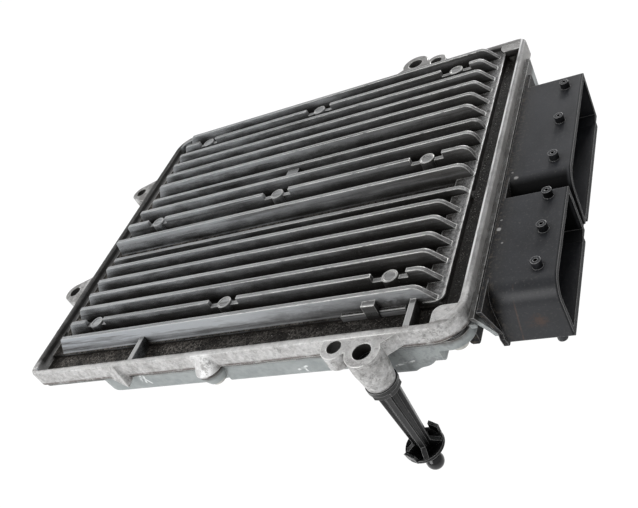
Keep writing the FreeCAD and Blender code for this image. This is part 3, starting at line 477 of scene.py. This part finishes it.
def inside_rim(tree, x, y, z, nz):
    """1 within the rim, 0 on the rim itself and outside it."""
    inside = product(tree, band(tree, x, rim_left + 0.3, rim_right - 0.3, 0.3),
                     band(tree, y, rim_front + 0.2, rim_back - 0.3, 0.3))
    pads = product(tree, between(tree, z, 6.2, 6.8), band(tree, x, 39.0, 60.0), ramp(tree, nz, 0.5, 0.8))
    front_right = beyond_corner(tree, x, y, front_right_round, (1, -1), front_right_radius)
    back_left = beyond_corner(tree, x, y, back_left_round, (-1, 1), back_left_radius)
    return product(tree, inside, opposite(tree, largest(tree, pads, front_right, back_left)))


def near_axis(tree, x, y, centre, radius):
    """1 within an upright cylinder. Its place and radius are in millimetres."""
    aside = maths_free(tree, "SUBTRACT", x, centre[0] * mm)
    ahead = maths_free(tree, "SUBTRACT", y, centre[1] * mm)
    return between(tree, length_of(tree, aside, ahead), radius, radius + 0.15, 1.0, 0.0)


print("rim masks ready")

# %% [markdown]
# ## The outer walls and lugs
# The walls are light and mottled, with water stains whose dried edges show as thin dark lines. Hands and
# screws reached the front and the right end, so the marks are strongest there. Soil creeps over the front
# rim, sits in the joint to the pan and fills the lugs at the left and the back.
# A painted highlight sits on the screw boss at the front, and level tops and the screw holes get painted
# shade.


# %% Outer casting
def cast_skin(tree, x, y, z, ny, nz, stains):
    """Light, mottled metal with stains and spots, a painted highlight on the screw boss and painted shade on
    level tops.
    """
    mottle = speckle(tree, 620.0, 6.0, 0.76)
    handled = largest(tree, between(tree, y, 4.5, 2.5), between(tree, x, 20.0, 34.0))
    marked = mix_values(tree, handled, 0.20, 0.55)
    # A painted highlight on the screw boss at the front.
    boss_painted_highlight = product(tree, spot(tree, boss_centre, boss_reach, 0.3), ramp(tree, ny, -0.1, -0.4), 0.92)
    blots = product(tree, ramp(tree, speckle(tree, 330.0, 7.0, 0.78), 0.53, 0.59), marked)
    patches = product(tree, ramp(tree, speckle(tree, 130.0, 7.0, 0.75), 0.50, 0.58), handled, 0.38)
    # Painted shade on level tops, chosen by the way the surface faces.
    level_top_shade = product(tree, ramp(tree, nz, 0.6, 0.9), between(tree, z, 5.5, 6.5), 0.42)
    tone = mix_colours(tree, ramp(tree, mottle, 0.38, 0.60), grey(0.50), grey(0.68, 0.010))
    return layered(tree, tone,
                   (ramp(tree, stains, 0.50, 0.64, 0.0, 0.45), grey(0.28, 0.03)),
                   (boss_painted_highlight, grey(0.90)),
                   (blots, grey(0.13, 0.05)),
                   (patches, grey(0.22, 0.04)),
                   (level_top_shade, grey(0.24, 0.02)),
                   (product(tree, veins(tree, 140.0, 0.005), marked), grey(0.07, 0.04)))


def outer_casting(tree, x, y, z, ny, nz):
    """The walls, lugs and rim, with soil at the joint, at the left and at the back, and painted shade in the
    screw holes.
    """
    stains = speckle(tree, 90.0, 7.0, 0.72)
    creep = maths_free(tree, "ADD", y, maths_free(tree, "MULTIPLY", stains, 4.0 * mm))
    creep = product(tree, between(tree, creep, 7.2, 8.6), ramp(tree, nz, 0.3, 0.7), band(tree, y, 3.0, 7.0))
    seam = product(tree, between(tree, z, 0.7, -0.5), ramp(tree, speckle(tree, 160.0, 5.0, 0.7), 0.30, 0.52),
                   between(tree, y, 2.6, 3.2))
    lug_soil = product(tree, between(tree, x, -181.5, -183.0), ramp(tree, stains, 0.42, 0.56, 0.1, 0.9))
    back_soil = product(tree, between(tree, y, 186.0, 190.0), ramp(tree, stains, 0.40, 0.60, 0.45, 0.75))
    coats = [(product(tree, creep, 0.65), grey(0.09, 0.08)),
             (product(tree, seam, 0.9), colour(0.060, 0.036, 0.026)),
             (lug_soil, grey(0.15, 0.03))]
    for centre, radius in screw_holes:
        # Painted shade down the bores of the screw holes.
        bore_shade = product(tree, near_axis(tree, x, y, centre, radius + 0.1), between(tree, z, 7.3, 7.0))
        coats.append((product(tree, bore_shade, 0.93), shade_and_grime))
    coats.append((back_soil, grey(0.13, 0.03)))
    return layered(tree, cast_skin(tree, x, y, z, ny, nz, stains), *coats)


print("outer finish ready")

# %% [markdown]
# ## Three rims with tones of their own
# On the left and at the back the rim is dark. On the right its outer side is painted lighter, and a painted
# highlight runs along one ridge of its top, broken into long streaks. A single rim tone would look too clean,
# so each has its mask.


# %% Rims
def shaded_rims(tree, x, y, z):
    """How far the left, back and right rims take their own tones."""
    left = product(tree, between(tree, x, -178.6, -179.2), between(tree, y, 8.0, 14.0),
                   between(tree, z, 3.0, 5.0), band(tree, x, -182.6, -178.0, 0.2))
    back = product(tree, between(tree, y, 197.4, 198.0), band(tree, y, 190.0, 201.2, 0.2), 0.55)
    right = product(tree, between(tree, x, 48.2, 48.9), between(tree, y, 20.0, 34.0))
    return left, back, right


def right_rim_painted_light(tree, x, nx, nz):
    """The right rim: its outer side painted lighter, with a painted highlight along a ridge of its top."""
    long_noise = speckle(tree, 1.0, 4.0, 0.6, stretched(tree, (500.0, 60.0, 60.0)))
    # A painted highlight along the ridge, broken by long streaks; the outer side gets a lighter, painted tone
    # by the way it faces.
    painted_ridge_highlight = product(tree, band(tree, x, 49.2, 49.9, 0.3), ramp(tree, nz, 0.5, 0.8),
                    ramp(tree, long_noise, 0.36, 0.5))
    tone = mix_colours(tree, ramp(tree, nx, 0.5, 0.9), oxide(tree, grey(0.11), grey(0.24), 110.0),
                       oxide(tree, grey(0.26, 0.02), grey(0.44, 0.02), 110.0))
    return mix_colours(tree, painted_ridge_highlight, tone, grey(0.62))


print("rims ready")

# %% [markdown]
# ## The cover's material
# Now the parts come together. Where the casting is closed in it darkens, partly as painted shade and partly
# as soil, thin dark lines mark its inner corners, and bare metal shows on the edges that stick out. Clean
# metal reflects like metal, while the soiled and shaded places do not, so the same masks also drive the
# metallic, specular and roughness values. Two bumps give the cast grain and the crust of dirt.

# %% Cover finish
fin_reach, corner_reach = 14.0, 2.2
cast_rounding = 0.7


def cover_finish():
    material, tree, shader = new_material("cast_cover")
    x, y, z = axes(tree)
    nx, ny, nz = facing(tree)
    closed = closed_in(tree, fin_reach, 8)
    rounded = soft_normal(tree, cast_rounding)
    inside = inside_rim(tree, x, y, z, nz)
    left, back, right = shaded_rims(tree, x, y, z)
    outer = layered(tree, outer_casting(tree, x, y, z, ny, nz),
                    (left, oxide(tree, grey(0.018, 0.03), grey(0.055, 0.03), 160.0)),
                    (back, oxide(tree, grey(0.07, 0.03), grey(0.14, 0.03))),
                    (right, right_rim_painted_light(tree, x, nx, nz)))
    lip = product(tree, inside, band(tree, x, 40.0, 40.9, 0.3), between(tree, z, 4.2, 4.6),
                  ramp(tree, speckle(tree, 200.0, 4.0), 0.35, 0.5))
    # Darker where the casting is closed in: painted shade in gaps and corners together with soil.
    shade_and_soil = product(tree, ramp(tree, closed, 0.36, 0.80), mix_values(tree, inside, 0.9, 0.6),
                   ramp(tree, speckle(tree, 170.0, 6.0, 0.75), 0.25, 0.6, 0.45, 1.0))
    corner_line = product(tree, ramp(tree, closed_in(tree, corner_reach), 0.34, 0.58),
                          mix_values(tree, inside, 0.75, 0.5),
                          ramp(tree, speckle(tree, 170.0, 5.0), 0.30, 0.55, 0.5, 1.0))
    wear = product(tree, worn_edge(tree, rounded, closed, 0.10, 0.30, 0.46),
                   mix_values(tree, between(tree, x, -120.0, 0.0), 0.40, 1.0),
                   opposite(tree, largest(tree, left, product(tree, back, 0.8))),
                   largest(tree, between(tree, z, 4.2, 4.8), opposite(tree, inside)))
    metal = layered(tree, outer,
                    (inside, finned_side(tree, x, y, z, ny, nz, closed)),
                    (product(tree, lip, 0.8), grey(0.45)),
                    (shade_and_soil, shade_and_grime),
                    (corner_line, colour(0.030, 0.024, 0.020)),
                    (wear, bright_metal))
    tree.links.new(metal, shader.inputs["Base Color"])
    clean = product(tree, opposite(tree, largest(tree, shade_and_soil, product(tree, inside, 0.7))),
                    opposite(tree, product(tree, right, 0.7)))
    metallic = largest(tree, product(tree, clean, 0.45), product(tree, wear, 0.8))
    tree.links.new(metallic, shader.inputs["Metallic"])
    low_inside = product(tree, inside, between(tree, z, 7.0, 5.5))
    tree.links.new(mix_values(tree, low_inside, 0.5, 0.12), shader.inputs["Specular IOR Level"])
    rough = mix_values(tree, speckle(tree, 300.0, 3.0), 0.40, 0.60)
    rough = mix_values(tree, clean, mix_values(tree, left, 0.58, 0.38), rough)
    tree.links.new(mix_values(tree, wear, rough, 0.34), shader.inputs["Roughness"])
    grain = bump(tree, speckle(tree, 1500.0, 3.0, 0.6), 0.16, 0.5, rounded)
    crust = bump(tree, speckle(tree, 560.0, 6.0, 0.78), 0.5, mix_values(tree, inside, 0.55, 0.85), grain)
    pits = ramp(tree, speckle(tree, 620.0, 2.0), 0.28, 0.42)
    tree.links.new(bump(tree, pits, 0.15, 0.6, crust), shader.inputs["Normal"])
    return material


cast_cover = cover_finish()
print("cover finish", len(cast_cover.node_tree.nodes), "nodes")

# %% [markdown]
# ## The pan below
# The pan is a smoother, bluer alloy than the cover, with a few pale scrapes on its front, a brown line of
# rust and soil where it meets the cover, and a black film by the header. The scrapes are few and each is
# seen, so they are written down one by one instead of being left to a noise.

# %% Pan finish
scratches = ((-116.0, -7.5, 62.0, 7.5, 0.9), (-113.8, -8.5, 70.0, 7.0, 0.7), (-111.0, -9.5, 118.0, 5.0, 0.6),
             (-28.0, -10.0, 20.0, 6.0, 0.8), (-24.0, -12.5, 100.0, 4.0, 0.7), (16.0, -13.5, 12.0, 9.0, 0.8))
header_side = 50.5


def pan_seam(tree, x, z):
    """Rust and soil along the joint, up to the header."""
    noise = ramp(tree, speckle(tree, 90.0, 5.0, 0.65), 0.34, 0.60)
    line = largest(tree, product(tree, between(tree, z, -4.8, -2.4), noise), between(tree, z, -2.9, -2.2))
    return product(tree, line, between(tree, x, 50.2, 49.6), 0.9)


def pan_scrapes(tree, x, y, z):
    lines = [stroke(tree, x, z, (across, along), angle, length, width)
             for across, along, angle, length, width in scratches]
    broken = ramp(tree, speckle(tree, 520.0, 4.0, 0.7), 0.40, 0.54)
    return product(tree, largest(tree, *lines), band(tree, y, -2.0, 12.0), broken, 0.85)


def pan_finish():
    material, tree, shader = new_material("cast_pan")
    x, y, z = axes(tree)
    closed = closed_in(tree, 10.0)
    rounded = soft_normal(tree, 0.5)
    worn_skin = product(tree, between(tree, x, -20.0, 5.0),
                        ramp(tree, speckle(tree, 210.0, 6.0, 0.75), 0.47, 0.58), 0.45)
    upper = product(tree, between(tree, x, header_side, header_side + 1.0), between(tree, z, -3.5, 0.0))
    film = ramp(tree, speckle(tree, 330.0, 5.0, 0.75), 0.30, 0.52)
    # Darker where the pan is closed in: painted shade together with soil.
    shade_and_soil = product(tree, ramp(tree, closed, 0.3, 0.85), 0.7)
    metal = oxide(tree, colour(0.265, 0.290, 0.292), colour(0.40, 0.425, 0.425), 90.0)
    metal = layered(tree, metal,
                    (worn_skin, grey(0.14, -0.02)),
                    (pan_scrapes(tree, x, y, z), colour(0.86, 0.88, 0.88)),
                    (product(tree, upper, mix_values(tree, film, 0.72, 1.0)), grey(0.018, 0.12)),
                    (pan_seam(tree, x, z), colour(0.045, 0.028, 0.020)),
                    (shade_and_soil, shade_and_grime),
                    (product(tree, worn_edge(tree, rounded, closed), 0.6), bright_metal))
    tree.links.new(metal, shader.inputs["Base Color"])
    tree.links.new(mix_values(tree, largest(tree, shade_and_soil, upper), 0.40, 0.0), shader.inputs["Metallic"])
    tree.links.new(mix_values(tree, speckle(tree, 260.0, 4.0), 0.42, 0.60), shader.inputs["Roughness"])
    grain = bump(tree, speckle(tree, 1700.0, 3.0, 0.6), 0.14, 0.5, rounded)
    tree.links.new(bump(tree, speckle(tree, 240.0, 5.0, 0.65), 0.3, 0.5, grain), shader.inputs["Normal"])
    return material


cast_pan = pan_finish()
print("pan finish", len(cast_pan.node_tree.nodes), "nodes")

# %% [markdown]
# ## Moulded black plastic
# The header and the leg are glass-filled nylon: nearly black with a faint blue sheen, satin where the mould
# was polished and chalky where dust clings. One recipe serves all the black pieces, with dust, shade in deep
# places and pale edges. A piece that has marks of its own passes a function that adds them.


# %% Black mouldings
def black_moulding(name, tone, dust_amount, shine, rough_low, rough_high, extras=None):
    material, tree, shader = new_material(name)
    closed = closed_in(tree, 16.0)
    rounded = soft_normal(tree, 0.45)
    cloud = speckle(tree, 55.0, 5.0)
    dust = product(tree, ramp(tree, speckle(tree, 900.0, 4.0, 0.8), 0.56, 0.72), dust_amount)
    shade = product(tree, ramp(tree, closed, 0.14, 0.44), 0.94)
    wear = product(tree, worn_edge(tree, rounded, closed, 0.12, 0.22, 0.40), 0.8)
    lighter = colour(*(share * 1.5 for share in tone[:3]))
    skin = layered(tree, mix_colours(tree, ramp(tree, cloud, 0.35, 0.65), tone, lighter),
                   (dust, colour(0.14, 0.135, 0.125)),
                   (shade, colour(0.0015, 0.0015, 0.0018)))
    if extras:
        skin, dull = extras(tree, skin)
        shade = largest(tree, shade, dull)
    tree.links.new(mix_colours(tree, wear, skin, grey(0.36)), shader.inputs["Base Color"])
    tree.links.new(mix_values(tree, shade, shine, shine * 0.12), shader.inputs["Specular IOR Level"])
    rough = mix_values(tree, cloud, rough_low, rough_high)
    rough = mix_values(tree, largest(tree, dust, shade), rough, 0.8)
    tree.links.new(rough, shader.inputs["Roughness"])
    tree.links.new(bump(tree, speckle(tree, 2600.0, 2.0), 0.05, 0.4, rounded), shader.inputs["Normal"])
    return material


print("moulding recipe ready")

# %% [markdown]
# ## Marks on the header and the leg
# The header has brown dust near the housing, one rusty stain and a hair line on its front, and a few small
# pale chips, and the leg has chips below its collar. These are spots at known places, so each is a soft ball
# of colour whose outline is broken up by noise. The faces that turn to the front between the shrouds get
# painted shade. The header's marks also say where it reflects less.

# %% Plastic marks
large_chips = ((57.6, 84.6, 3.4), (59.5, 88.0, 3.4), (56.6, 56.7, 3.4))
small_chips = ((59.2, 48.2, 3.4), (63.9, 20.0, 1.1), (65.4, 20.4, -0.4), (67.5, 22.0, 2.8),
               (71.2, 20.6, 1.6), (57.5, 92.0, 3.4), (57.0, 62.0, 3.4))
leg_chips = ((9.5, -10.5, -26.5), (10.0, -10.5, -29.0), (10.5, -10.5, -31.5))
rust_stain, rust_fleck = (71.0, 19.0, -12.0), (70.0, 19.2, -9.8)
hair_x, hair_lean = 65.9, -0.13


def hair_line(tree, x, y, z):
    """A thin leaning line on the front shroud's front."""
    lean = maths_free(tree, "MULTIPLY", z, hair_lean)
    aside = maths_free(tree, "SUBTRACT", x, hair_x * mm)
    away = maths(tree, "ABSOLUTE", maths_free(tree, "ADD", lean, aside))
    return product(tree, between(tree, away, 0.1, 0.4, 1.0, 0.0), between(tree, y, 26.0, 24.0),
                   ramp(tree, speckle(tree, 120.0), 0.42, 0.5), 0.4)


def header_marks(tree, under):
    """The header's marks and a painted shade, and how dull it is."""
    x, y, z = axes(tree)
    ny = facing(tree)[1]
    mouth = between(tree, x, 81.4, 81.8)
    near = between(tree, x, 64.0, 55.5)
    crumbs = ramp(tree, speckle(tree, 620.0, 5.0, 0.78), 0.50, 0.66)
    broken = ramp(tree, speckle(tree, 330.0, 5.0, 0.75), 0.42, 0.58)
    stain = product(tree, spot(tree, rust_stain, 5.0, 1.0), broken, 0.7)
    # Painted shade on the faces that turn to the front between the shrouds, which also makes them duller.
    painted_shade_side = product(tree, band(tree, y, 60.0, 90.0), ramp(tree, ny, -0.10, -0.55),
                          between(tree, x, 81.5, 80.5), 0.9)
    marked = layered(tree, under,
                     (product(tree, mouth, 0.5), grey(0.003)),
                     (product(tree, near, 0.6), grey(0.006)),
                     (product(tree, near, near, crumbs, 0.9), brown_dust),
                     (stain, colour(0.060, 0.030, 0.018)),
                     (product(tree, spot(tree, rust_fleck, 1.0), 0.6), grey(0.13, 0.03)),
                     (hair_line(tree, x, y, z), colour(0.10, 0.055, 0.035)),
                     (product(tree, spots(tree, large_chips, 1.1), 0.9), grey(0.30, 0.02)),
                     (product(tree, spots(tree, small_chips, 0.55), 0.8), grey(0.22, 0.02)),
                     (painted_shade_side, grey(0.002)))
    return marked, largest(tree, painted_shade_side, product(tree, mouth, 0.6), product(tree, near, near, 0.7))


def leg_marks(tree, under):
    return mix_colours(tree, spots(tree, leg_chips, 1.2), under, grey(0.38)), 0.0


header_plastic = black_moulding("black_moulding", colour(0.0120, 0.0128, 0.0155), 0.40, 0.40, 0.33, 0.44,
                                header_marks)
leg_plastic = black_moulding("leg_moulding", colour(0.006, 0.006, 0.0064), 0.35, 0.50, 0.24, 0.36, leg_marks)
ball_gloss = black_moulding("ball_gloss", colour(0.005, 0.005, 0.006), 0.05, 0.60, 0.08, 0.14)
rubber = black_moulding("black_rubber", colour(0.006, 0.006, 0.006), 0.30, 0.30, 0.60, 0.75)
print(len(large_chips) + len(small_chips) + len(leg_chips), "chips on the plastics")

# %% [markdown]
# ## Small inner parts
# The board, chips, cans and screws hardly show, but the model may be taken apart, so each gets a finish with
# some variation of its own. One recipe is enough here: two tones, a roughness range and a fine grain.


# %% Simple finishes
def two_tone(name, first, second, metallic, rough_low, rough_high, scale=300.0):
    material, tree, shader = new_material(name, Metallic=metallic)
    cloud = speckle(tree, scale, 4.0)
    tone = mix_colours(tree, ramp(tree, cloud, 0.35, 0.65), first, second)
    tree.links.new(tone, shader.inputs["Base Color"])
    tree.links.new(mix_values(tree, cloud, rough_low, rough_high), shader.inputs["Roughness"])
    tree.links.new(bump(tree, speckle(tree, scale * 7.0, 2.0), 0.04, 0.5), shader.inputs["Normal"])
    return material


finishes = {
    "cast_cover": cast_cover,
    "cast_pan": cast_pan,
    "black_rubber": rubber,
    "black_moulding": header_plastic,
    "leg_moulding": leg_plastic,
    "ball_gloss": ball_gloss,
}
simple_finishes = (
    ("contact_metal", colour(0.72, 0.66, 0.50), colour(0.82, 0.79, 0.70), 1.0, 0.22, 0.38),
    ("board_green", colour(0.012, 0.10, 0.045), colour(0.02, 0.15, 0.07), 0.0, 0.30, 0.42),
    ("chip_black", colour(0.012, 0.012, 0.013), colour(0.03, 0.03, 0.031), 0.0, 0.45, 0.62),
    ("pad_grey", colour(0.33, 0.38, 0.44), colour(0.42, 0.47, 0.52), 0.0, 0.65, 0.8),
    ("can_metal", colour(0.60, 0.60, 0.62), colour(0.78, 0.78, 0.80), 1.0, 0.25, 0.4),
    ("ferrite", colour(0.03, 0.03, 0.032), colour(0.07, 0.07, 0.07), 0.0, 0.55, 0.75),
    ("screw_steel", colour(0.42, 0.42, 0.40), colour(0.60, 0.59, 0.55), 1.0, 0.30, 0.5),
)
for recipe in simple_finishes:
    finishes[recipe[0]] = two_tone(*recipe)
slots = {part["node"]: part["material_slot"] for part in frame["record"]["subparts"]}
for node_name, solid in frame["nodes"].items():
    solid.data.materials.clear()
    solid.data.materials.append(finishes[slots[node_name]])
print(len(slots), "nodes finished with", len(finishes), "materials")

# %% [markdown]
# ## Grit in the channels
# Bump maps only bend the light. Sand that lies in the channel also casts tiny shadows, so it is made as real
# crumbs: one object with a few thousand small lumps, each squashed and turned by chance. Denser places follow
# the object, with most of it under the first fin and where the fins end.

# %% Grit
chance = random.Random(7)
lump = ((1, 0, 0), (-1, 0, 0), (0, 1, 0), (0, -1, 0), (0, 0, 1))
lump_faces = ((0, 2, 4), (2, 1, 4), (1, 3, 4), (3, 0, 4))
channel_x, channel_y, channel_z = (-176, 36), (7.2, 19.0), 1.5
trough_x, trough_y = (41.5, 48.5), (20, 196)
trough_foot_x, trough_foot_y = (41.2, 43.2), (40, 196)
plateau_y, plateau_z = (24, 195), 5.0
dark_sand = two_tone("dark_sand", colour(0.01, 0.009, 0.008), colour(0.16, 0.14, 0.12), 0.0, 0.6, 0.85, 900.0)
pale_sand = two_tone("pale_sand", colour(0.25, 0.24, 0.22), colour(0.62, 0.61, 0.58), 0.1, 0.4, 0.7, 900.0)


def crumbs_in(count, x_range, y_range, height, sizes, crowd=1.0):
    """Small lumps on a level floor. Crowd above one packs them towards the end of the y range."""
    places = []
    for _ in range(count):
        x = chance.uniform(*x_range)
        y = y_range[0] + (y_range[1] - y_range[0]) * chance.random() ** (1 / crowd)
        places.append((x, y, height, chance.uniform(*sizes)))
    return places


def add_piece(name, mesh, material):
    """Links a finished mesh as a new piece of the part."""
    piece = bpy.data.objects.new(name, mesh)
    bpy.context.collection.objects.link(piece)
    mesh.materials.append(material)
    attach(piece, "root")
    return piece


def build_crumbs(name, places, material):
    corners, faces = [], []
    for x, y, z, size in places:
        spin = Matrix.Rotation(chance.uniform(0, math.tau), 3, "Z")
        first = len(corners)
        for corner in lump:
            wide = Vector([c * size * chance.uniform(0.6, 1.2) for c in corner])
            wide.z *= 0.7
            corners.append((spin @ wide + Vector((x, y, z))) * mm)
        faces += [tuple(first + i for i in face) for face in lump_faces]
    mesh = bpy.data.meshes.new(name)
    mesh.from_pydata(corners, [], faces)
    return add_piece(name, mesh, material)


dark_places = crumbs_in(1500, channel_x, channel_y, channel_z, (0.10, 0.30), 1.8)
dark_places += crumbs_in(700, trough_x, trough_y, channel_z, (0.10, 0.26))
dark_places += crumbs_in(900, (33, 40.4), plateau_y, plateau_z, (0.10, 0.30))
pale_places = crumbs_in(260, channel_x, channel_y, channel_z, (0.08, 0.20), 1.4)
pale_places += crumbs_in(200, trough_foot_x, trough_foot_y, channel_z, (0.08, 0.20))
pale_places += crumbs_in(220, (35, 40.6), plateau_y, plateau_z, (0.08, 0.20))
for name, places, sand in (("dark_grit", dark_places, dark_sand), ("pale_grit", pale_places, pale_sand)):
    grit_piece = build_crumbs(name, places, sand)
    print(name, len(places), "crumbs,", len(grit_piece.data.polygons), "triangles")

# %% [markdown]
# ## A cast ledge
# A low ledge runs along part of the first fin's face. A bump could only fake its shade, but its top edge
# catches a thin line of light, so it is a short bar with rounded edges in the cover's own material.


# %% Ledge
def rounded_bar(name, low_corner, high_corner, radius, material):
    """A box with rounded edges, from two corners in millimetres."""
    shape = bmesh.new()
    bmesh.ops.create_cube(shape, size=1.0)
    size = Vector(high_corner) - Vector(low_corner)
    centre = (Vector(high_corner) + Vector(low_corner)) / 2
    for vertex in shape.verts:
        vertex.co = Vector(a * b for a, b in zip(vertex.co, size)) * mm + centre * mm
    bmesh.ops.bevel(shape, geom=shape.edges[:], offset=radius * mm, segments=3, affect="EDGES")
    mesh = bpy.data.meshes.new(name)
    shape.to_mesh(mesh)
    shape.free()
    return add_piece(name, mesh, material)


ledge = rounded_bar("fin_ledge", (-4.4, 18.0, 1.3), (25.6, 20.6, 4.7), 0.5, cast_cover)
print("ledge", len(ledge.data.polygons), "faces")

# %% [markdown]
# ## World light
# The photograph has soft light on a pure white ground. A white world would wash the metal out, so only the
# camera, and rays that pass through something clear, see full white. The metal is lit by a weaker sky.

# %% World
ambient_level = 0.42
world = bpy.data.worlds.new("studio")
bpy.context.scene.world = world
world.use_nodes = True
sky = world.node_tree
sky.nodes.clear()
ray = add_node(sky, "ShaderNodeLightPath").outputs
seen = add_node(sky, "ShaderNodeMath", {"operation": "MAXIMUM"}, i0=ray["Is Camera Ray"],
                i1=ray["Is Transmission Ray"]).outputs[0]
strength = mix_values(sky, seen, ambient_level, 1.0)
background = add_node(sky, "ShaderNodeBackground", None, Color=colour(1, 1, 1), Strength=strength)
sky_out = add_node(sky, "ShaderNodeOutputWorld")
sky.links.new(background.outputs[0], sky_out.inputs[0])
print("sky level", ambient_level)

# %% [markdown]
# ## Lamps
# The fins need a light from the front left for their faces, and the black header only shows by what it
# mirrors. So two large lamps stand in front and at the left, a weak one hangs above, and a smaller lamp
# behind the part gives the plastic its soft sheen.

# %% Lamps
middle = (cad_low + cad_high) / 2


def soft_lamp(name, direction, distance, size, power):
    data = bpy.data.lights.new(name, "AREA")
    data.size = size
    data.energy = power
    lamp = bpy.data.objects.new(name, data)
    bpy.context.collection.objects.link(lamp)
    lamp.location = middle + Vector(direction).normalized() * distance
    lamp.rotation_mode = "QUATERNION"
    lamp.rotation_quaternion = (lamp.location - middle).to_track_quat("Z", "Y")
    return lamp


lamps = (soft_lamp("front_light", (-0.45, -1.0, 0.45), 1.3, 0.8, 8.1),
         soft_lamp("left_light", (-1.0, 0.1, 0.8), 1.3, 0.7, 7.0),
         soft_lamp("top_light", (0.1, 0.3, 1.0), 1.4, 0.9, 4.0),
         soft_lamp("back_light", (0.22, 1.0, 0.36), 1.3, 0.35, 9.5))
print(len(lamps), "lamps,", round(sum(lamp.data.energy for lamp in lamps), 1), "W")

# %% [markdown]
# ## The floor
# The ground is white for the camera, as in the photograph. Pure glowing white would hide every shadow, so a
# small share of the floor is ordinary pale paint.

# %% Floor
floor_depth = 0.25
floor_half = 4.0
floor_z = cad_low.z - floor_depth
floor_mesh = bpy.data.meshes.new("floor")
corners = [(x * floor_half, y * floor_half, floor_z) for x, y in ((-1, -1), (1, -1), (1, 1), (-1, 1))]
floor_mesh.from_pydata(corners, [], [(0, 1, 2, 3)])
floor = bpy.data.objects.new("floor", floor_mesh)
bpy.context.collection.objects.link(floor)
floor_paint, tree, shader = new_material("floor_paint", Roughness=0.9, Base_Color=grey(0.9))
glow = add_node(tree, "ShaderNodeEmission", None, Color=colour(1, 1, 1), Strength=1.04).outputs[0]
looks = add_node(tree, "ShaderNodeLightPath").outputs
white_share = maths(tree, "MULTIPLY", looks["Is Camera Ray"], 0.96)
blend = add_node(tree, "ShaderNodeMixShader", None, i0=white_share, i1=shader.outputs[0], i2=glow)
tree.links.new(blend.outputs[0], tree.nodes["Material Output"].inputs[0])
floor_mesh.materials.append(floor_paint)
print("floor at", round(floor_z, 3), "m")
